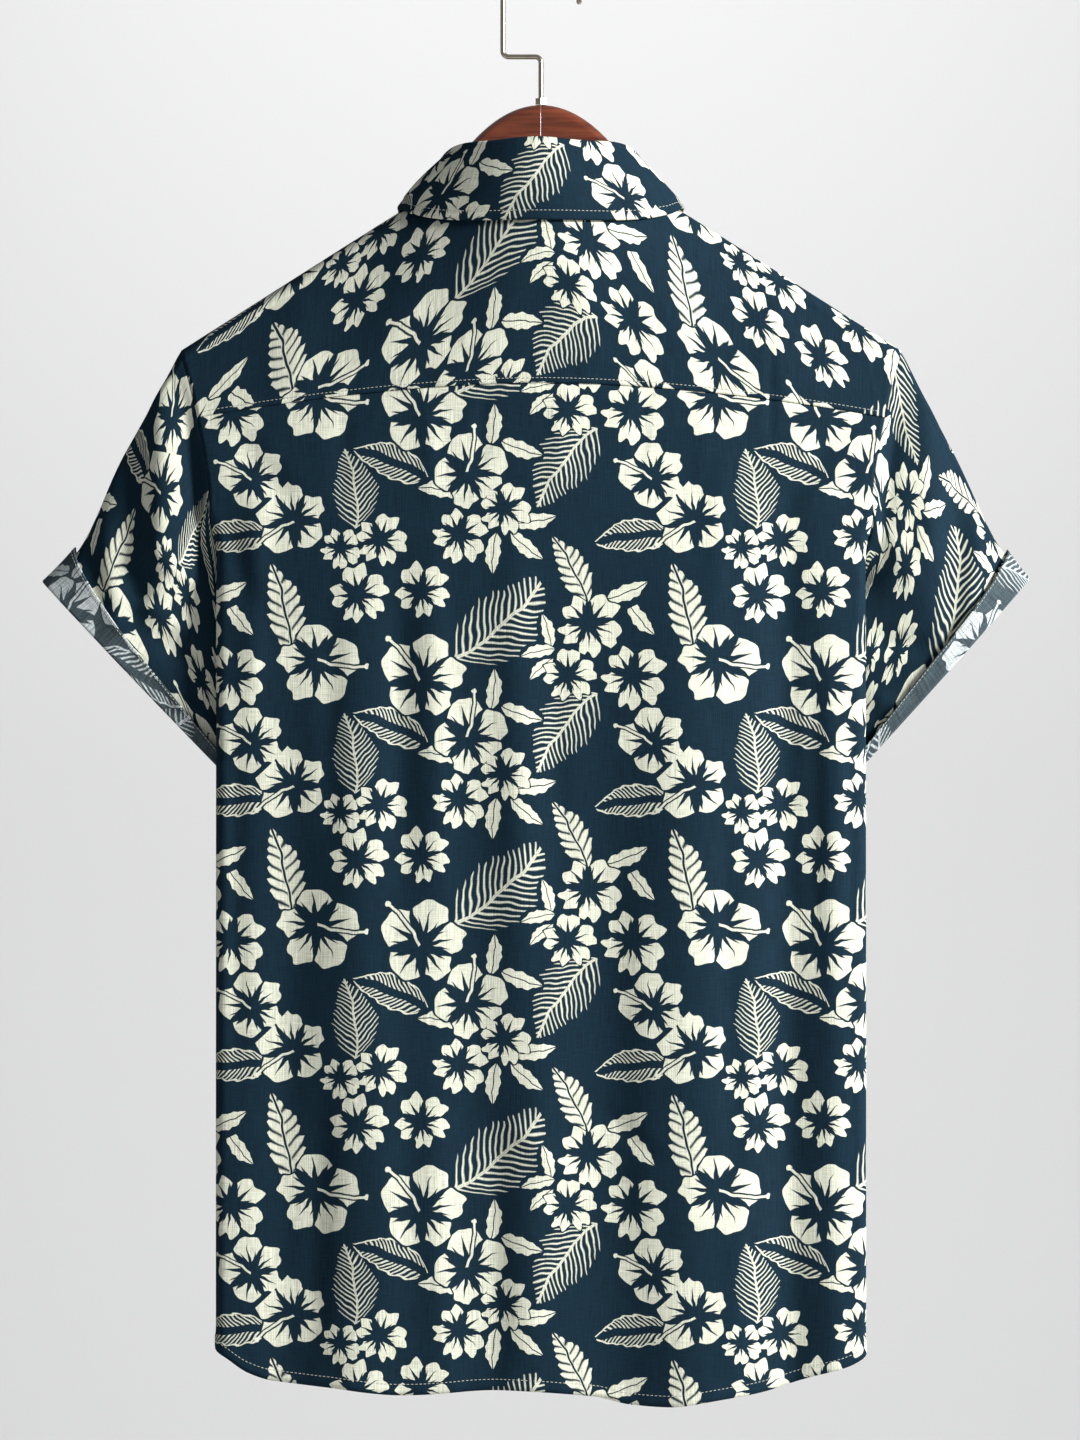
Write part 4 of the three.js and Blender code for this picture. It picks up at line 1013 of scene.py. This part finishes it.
def ring_shares(ring):
    """Shares round a ring: zero at the underarm, a half at the top, one at the underarm again."""
    steps = np.linalg.norm(np.roll(ring, -1, 0) - ring, axis=1)
    lengths = np.concatenate([[0], np.cumsum(steps)])
    top = int(np.argmax(ring[:, 2]))
    i = np.arange(len(ring))
    rising = 0.5 * lengths[:-1] / lengths[top]
    falling = 0.5 + 0.5 * (lengths[:-1] - lengths[top]) / (lengths[-1] - lengths[top])
    return np.where(i <= top, rising, falling)


def sleeve_grid(side, rows):
    """A sleeve: quadratic sweeps from the armhole ring to the flattened hem ring."""
    ring, out_n = armhole_ring(side)
    share = ring_shares(ring)
    tip_x, tip_z, low_x, low_z, draw_in = SLEEVES[side]
    top = 1 - np.abs(2 * share - 1)
    turn = math.pi * (1 - 2 * share)
    along = (1 + np.cos(turn)) / 2
    depth = (HEM_DEPTH + HEM_DEPTH_GAIN * along) * np.sin(turn)
    end = np.stack([side * mix(low_x, tip_x, along), depth, mix(low_z, tip_z, along)], -1)
    way = unit(end - ring)
    start = ring + out_n * 0.1 - way * 0.2
    middle = (start + end) / 2
    middle[:, 2] -= SLEEVE_SAG * top**2
    v = rows[:, None, None]
    points = (1 - v) ** 2 * start + 2 * v * (1 - v) * middle + v * v * end
    drawn = smooth(rows, DRAW_FROM, DRAW_FULL) * (1 - smooth(rows, DRAW_FULL, 1.0))
    points[..., 0] -= side * draw_in * drawn[:, None] * top**3
    return points, share, along


class SHIRT_OT_sleeves(bpy.types.Operator):
    """Make both set-in sleeves and their turned-up cuffs"""

    bl_idname = "shirt.sleeves"
    bl_label = "Sleeves and cuffs"

    def execute(self, context):
        for side, name in ((1, "left"), (-1, "right")):
            rows = runs(0, (0.1, 9), (1, 73))
            points, share, along = sleeve_grid(side, rows)
            normals = grid_normals(points, closed=True) * side
            crease = soft_lines(points[..., 0], points[..., 2], SLEEVE_CREASES[side])
            ends = smooth(rows, 0, 0.12)[:, None] * (1 - 0.6 * smooth(rows, 0.85, 1.0))[:, None]
            room = smooth(np.abs(points[..., 1]), 2.0, 9.0)
            groove = -0.35 * np.exp(-((rows[:, None] / 0.012) ** 2))
            crease = crease * ends * room + groove
            points = points + normals * crease[..., None]
            run = travel(points[:, 70])
            girth = mix(500.0, 390.0, rows)[:, None] * (share[None, :] - 0.5)
            uv = np.stack([girth * side * -1 + 40, -run[:, None] * np.ones_like(girth) + 15], -1)
            closed_points = np.concatenate([points, points[:, :1]], 1)
            closed_uv = np.concatenate([uv, uv[:, :1] + [[[-500.0 * side, 0]]]], 1)
            obj = add_mesh(f"sleeve_{name}_cloth", closed_points, closed_uv, flip=side < 0)
            self.close(obj)
            cloth_piece(obj, [f"sleeve_{name}"])
            self.cuff(points, normals, share, side, name)
        return {"FINISHED"}

    def close(self, obj):
        """Joins the two edges of a tube along its seam."""
        weld = obj.modifiers.new("seam", "WELD")
        weld.merge_threshold = 0.00002

    def cuff(self, points, normals, share, side, name):
        """The turned-up band: from inside the hem, round the fold and back up the outside."""
        hem, n = points[-1], normals[-1]
        way = unit(points[-1] - points[-8])
        top = 1 - np.abs(2 * share - 1)
        width = mix(CUFF_LOW, CUFF_TIP[side], top**CUFF_TAPER) * (1 + 0.06 * np.sin(14 * share + side))
        turn = even(-90, 90, 9)[1:-1]
        rows, flat = [], []
        for back in (6.0, 3.0):
            rows.append(hem - way * back - n * 0.75)
            flat.append(-back)
        for degrees in turn:
            a = math.radians(degrees)
            rows.append(hem + n * (0.55 + 1.3 * math.sin(a)) + way * 1.5 * math.cos(a))
            flat.append(a * 1.4)
        for t in even(0, 1, 26):
            lift = 1.85 + 1.5 * t * t + 0.5 * np.sin(9 * share * math.pi + 2 * side) * t
            rows.append(hem - way * (width * t)[:, None] + n * lift[:, None])
            flat.append(2.2 + t * width)
        band = np.stack(rows)
        v = np.stack([np.ones_like(share) * f for f in flat])
        u = 390.0 * (share - 0.5)[None, :] * np.ones_like(v)
        uv = np.stack([u * side, v], -1)
        band = np.concatenate([band, band[:, :1]], 1)
        uv = np.concatenate([uv, uv[:, :1] + [[[390.0 * side, 0]]]], 1)
        obj = add_mesh(f"cuff_{name}_cloth", band, uv, flip=side > 0)
        self.close(obj)
        cloth_piece(obj, [f"cuff_{name}"], "print_reverse", "print_face", 0.9)
        n = grid_normals(band) * -side
        edge = grid_line(band, n, -3, 0)
        stitches(f"cuff_{name}_stitches", [edge], **FINE)


def collar_edge(angle):
    """Across and girth of the leaf's edge at an angle from the centre back."""
    a = np.abs(angle)
    quarter = math.pi / 2
    x0 = COLLAR_EDGE_X * np.sin(np.minimum(a, quarter))
    rise = (COLLAR_SIDE_Z - COLLAR_BACK_Z) * np.sin(np.minimum(a, quarter)) ** 5
    q0 = girth_of(ridge_z(x0) - COLLAR_BACK_Z - rise)
    t = np.clip((a - quarter) / (math.radians(COLLAR_END) - quarter), 0, 1)
    x1 = mix(COLLAR_EDGE_X, COLLAR_POINT_X, t**1.5)
    z1 = mix(COLLAR_SIDE_Z, COLLAR_POINT_Z, t**1.2)
    q1 = -girth_of(ridge_z(x1) - z1)
    return np.where(a <= quarter, x0, x1), np.where(a <= quarter, q0, q1)


class SHIRT_OT_collar(bpy.types.Operator):
    """Make the turned-down collar with its stitched edge"""

    bl_idname = "shirt.collar"
    bl_label = "Collar"

    def execute(self, context):
        angle = np.radians(even(-COLLAR_END, COLLAR_END, 330))
        side = np.where(angle < 0, -1.0, 1.0)
        neck_x, neck_q = neck_spot(np.abs(angle))
        base = shoulder_point(side * neck_x, neck_q)
        out = np.stack([np.sin(angle), np.cos(angle), np.zeros_like(angle)], -1)
        c = np.cos(angle)
        back_z, side_z, front_z = COLLAR_ROLL_Z
        roll = mix(side_z, np.where(c >= 0, back_z, front_z), c * c)
        roll = np.where(c >= 0, mix(roll, back_z, 0.75 * np.sin(2 * np.abs(angle)) ** 2), roll)
        front = np.maximum(0, -c)
        foot = base - out * (COLLAR_CLOTH + 0.1)
        foot[:, 2] += 1.0
        lean = np.stack([mix(COLLAR_LEAN, 1, front), mix(0.93, 1, front)], -1)
        stand = np.stack([base[:, 0] * lean[:, 0], base[:, 1] * lean[:, 1], roll], -1) - out * COLLAR_CLOTH
        rows = [mix(foot, stand, t) for t in even(0, 1, 16)]
        for turn in np.radians(even(180, 0, 14)[1:]):
            p = stand + out * COLLAR_ROLL * (1 + math.cos(turn))
            p[:, 2] += COLLAR_ROLL * math.sin(turn)
            rows.append(p)
        outside = stand + out * 2 * COLLAR_ROLL
        edge_x, edge_q = collar_edge(angle)
        rise = outside - base
        for t in even(0, 1, 52)[1:]:
            x = mix(side * neck_x, side * edge_x, t)
            q = mix(neck_q, edge_q, t)
            off = COLLAR_CLOTH + COLLAR_REST * (1 - (1 - t) ** 4) + 3 * t * (1 - t) - COLLAR_CLOTH * (1 - t)
            rows.append(shoulder_point(x, q) + rise * (1 - t) + shoulder_normal(x, q) * off)
        points = np.stack(rows, 1)
        normals = -grid_normals(points)
        run = travel(points, 1)
        to_edge = run[:, -1:] - run
        to_end = np.minimum(angle - angle[0], angle[-1] - angle)[:, None] * 62
        near = np.minimum(to_edge, np.where(run > 30, to_end, 99))
        soft = 0.5 * smooth(near, 6.0, 9.0) - 0.7 * (1 - smooth(near, 0, 1.2))
        wave = 0.7 * np.sin(angle * 5.3 + 0.7)[:, None] * smooth(run, 20, 45) * smooth(to_edge, -1, 20)
        points = points + normals * (soft + wave)[..., None]
        along = NECK_HALF * 1.15 * angle[:, None] * np.ones_like(run)
        uv = np.stack([-along + 18, 66 - run], -1)
        obj = cloth_piece(add_mesh("collar_cloth", points, uv, flip=True), ["collar"], thick=1.1)
        normals = -grid_normals(points)
        column = int(np.argmin(np.abs(to_edge[len(angle) // 2] - 5.5)))
        path, n = grid_line(points, normals, column, 1)
        stitches("collar_stitches", [(path[4:-4], n[4:-4])], **FINE)
        return {"FINISHED"}


def arm_top(x):
    """Top of the wood: the arch near the middle, then just under the shoulder line."""
    arch = -96.5 - 0.0122 * x * x - 2e-7 * x**4
    rest = ridge_z(x) - 3.9
    return (arch + rest + np.sqrt((arch - rest) ** 2 + 4)) / 2


class SHIRT_OT_hanger(bpy.types.Operator):
    """Make the wooden arms, the nut and the cranked wire hook"""

    bl_idname = "shirt.hanger"
    bl_label = "Hanger"

    def execute(self, context):
        x = runs(0.05, (1.2, 3), (70, 39), (190, 39), (205.6, 13))
        size = np.where(x > 190, np.sqrt(np.maximum(0.02, 1 - ((x - 190) / 16) ** 2)), 1.0)
        size = size * (1 - 0.012 * np.exp(-((x / 0.35) ** 2)))
        top, low = arm_top(x), -152 - 0.62 * (np.hypot(x, 30) - 30)
        middle, reach = (top + low) / 2, (top - low) / 2 * size
        turn = (np.arange(48) + 0.5) * math.pi / 24
        half = 7.0 * size[:, None]
        up = np.sign(np.sin(turn))
        y = half * np.cos(turn)
        z = middle[:, None] + up * (reach[:, None] - half) + half * np.sin(turn)
        arms = [(np.stack([side * x[:, None] * np.ones_like(y), y, z], -1), side < 0) for side in (1, -1)]
        wood = add_tubes("hanger_arms", arms, "stained_wood")
        stand_for(wood, ["hanger_arm_left", "hanger_arm_right"])
        self.hook()
        finish_node("hanger_nut", "bright_wire", 0.0005, 3)
        return {"FINISHED"}

    def hook(self):
        """A wire swept along its path: up from the nut, cranked to one side, then bent over."""
        r, bend, crank = 3.5, 23.6, -66.6

        def turn(cx, cz, a, b, radius, n):
            t = np.radians(even(a, b, n))
            return np.stack([cx + radius * np.cos(t), 0 * t, cz + radius * np.sin(t)], -1)

        path = np.concatenate([
            [[0, 0, -92.9], [0, 0, -92.2], [0, 0, -91.4], [0, 0, -80]],
            turn(r, crank - r, 180, 90, r, 10),
            turn(bend - r, crank + r, 270, 360, r, 10),
            turn(0, -22, 0, 180, bend, 60),
            [[-bend, 0, -33], [-bend, 0, -34]],
        ])
        along = unit(np.gradient(path, axis=0))
        across = np.array([0.0, 1.0, 0.0])
        other = np.cross(along, across)
        a = np.arange(24) * math.pi / 12
        wire = bpy.context.scene.hanger.wire_radius / MM
        radius = np.full(len(path), wire)
        radius[[0, -1]] *= 0.6
        spot = np.cos(a)[:, None] * across + np.sin(a)[:, None] * other[:, None]
        points = path[:, None] + radius[:, None, None] * spot
        stand_for(add_tubes("hanger_wire", [(points, False)], "bright_wire"), ["hanger_hook"])


class SHIRT_OT_stage(bpy.types.Operator):
    """Set out the pale backdrop, the soft lights and the camera"""

    bl_idname = "shirt.stage"
    bl_label = "Stage"

    def execute(self, context):
        n = new_material("paper")
        n.node("ShaderNodeOutputMaterial", {0: n.node("ShaderNodeBsdfDiffuse", {0: (0.8, 0.8, 0.8, 1)})})
        floor_z = -2.1
        t = even(0, math.pi / 2, 12)
        wall_y, bend = -7.5, 1.5
        profile = [(7.0, floor_z), (wall_y + bend, floor_z)]
        profile += [(wall_y + bend * (1 - math.sin(a)), floor_z + bend * (1 - math.cos(a))) for a in t[1:]]
        profile += [(wall_y, 9.0)]
        verts = [(x, y, z) for x in (-9.0, 9.0) for y, z in profile]
        count = len(profile)
        faces = [(i, i + 1, count + i + 1, count + i) for i in range(count - 1)]
        mesh = bpy.data.meshes.new("backdrop")
        mesh.from_pydata(verts, [], faces)
        mesh.polygons.foreach_set("use_smooth", np.ones(len(faces), bool))
        add_object("backdrop", mesh, "paper")
        world = bpy.data.worlds.new("studio")
        world.use_nodes = True
        world.node_tree.nodes["Background"].inputs[0].default_value = (0.95, 0.97, 1.0, 1)
        world.node_tree.nodes["Background"].inputs[1].default_value = 0.24
        context.scene.world = world
        target = Vector((0, 0, -0.48))
        self.light("key", (-3.0, 1.5, 0.8), target, 0.9, 280, (1.0, 0.99, 0.97))
        low_wall = Vector((0, wall_y + 0.5, -1.1))
        self.light("wall", (0.0, wall_y + 3.3, 2.6), low_wall, 2.4, 108, (1.0, 1.0, 1.0))
        data = bpy.data.cameras.new("camera")
        camera = bpy.data.objects.new("camera", data)
        context.collection.objects.link(camera)
        distance, centre = 3.0, Vector((0.0006, 0.0, -0.4777))
        camera.location = centre + Vector((0, distance, 0))
        camera.rotation_euler = (math.pi / 2, 0, math.pi)
        data.sensor_width = 36
        data.sensor_fit = "AUTO"
        data.lens = 36 * distance / 0.8928
        data.clip_end = 60
        context.scene.camera = camera
        context.scene.view_settings.view_transform = "Standard"
        return {"FINISHED"}

    def light(self, name, place, target, size, power, color):
        data = bpy.data.lights.new(name, "AREA")
        data.shape, data.size, data.energy, data.color = "DISK", size, power, color
        lamp = bpy.data.objects.new(name, data)
        lamp.location = place
        lamp.rotation_euler = (target - Vector(place)).to_track_quat("-Z", "Y").to_euler()
        bpy.context.collection.objects.link(lamp)


OPERATORS = (
    SHIRT_OT_materials,
    SHIRT_OT_hanger,
    SHIRT_OT_back,
    SHIRT_OT_yoke,
    SHIRT_OT_fronts,
    SHIRT_OT_sleeves,
    SHIRT_OT_collar,
    SHIRT_OT_stage,
)


class SHIRT_PT_panel(bpy.types.Panel):
    """Lists the settings and the steps that build the shirt"""

    bl_idname = "SHIRT_PT_panel"
    bl_label = "Shirt on a hanger"
    bl_space_type = "VIEW_3D"
    bl_region_type = "UI"
    bl_category = "Shirt"

    def draw(self, context):
        for group in (context.scene.shirt, context.scene.hanger):
            for key in group.__annotations__:
                self.layout.prop(group, key)
        for operator in OPERATORS:
            self.layout.operator(operator.bl_idname)


CLASSES = (ShirtSettings, HangerSettings, *OPERATORS, SHIRT_PT_panel)


def register():
    for item in CLASSES:
        bpy.utils.register_class(item)
    bpy.types.Scene.shirt = bpy.props.PointerProperty(type=ShirtSettings)
    bpy.types.Scene.hanger = bpy.props.PointerProperty(type=HangerSettings)


def unregister():
    del bpy.types.Scene.hanger
    del bpy.types.Scene.shirt
    for item in reversed(CLASSES):
        bpy.utils.unregister_class(item)


def main():
    register()
    for operator in OPERATORS:
        group, name = operator.bl_idname.split(".")
        result = getattr(getattr(bpy.ops, group), name)()
        if result != {"FINISHED"}:
            raise RuntimeError(f"{operator.bl_idname} did not finish")


if __name__ == "__main__":
    main()
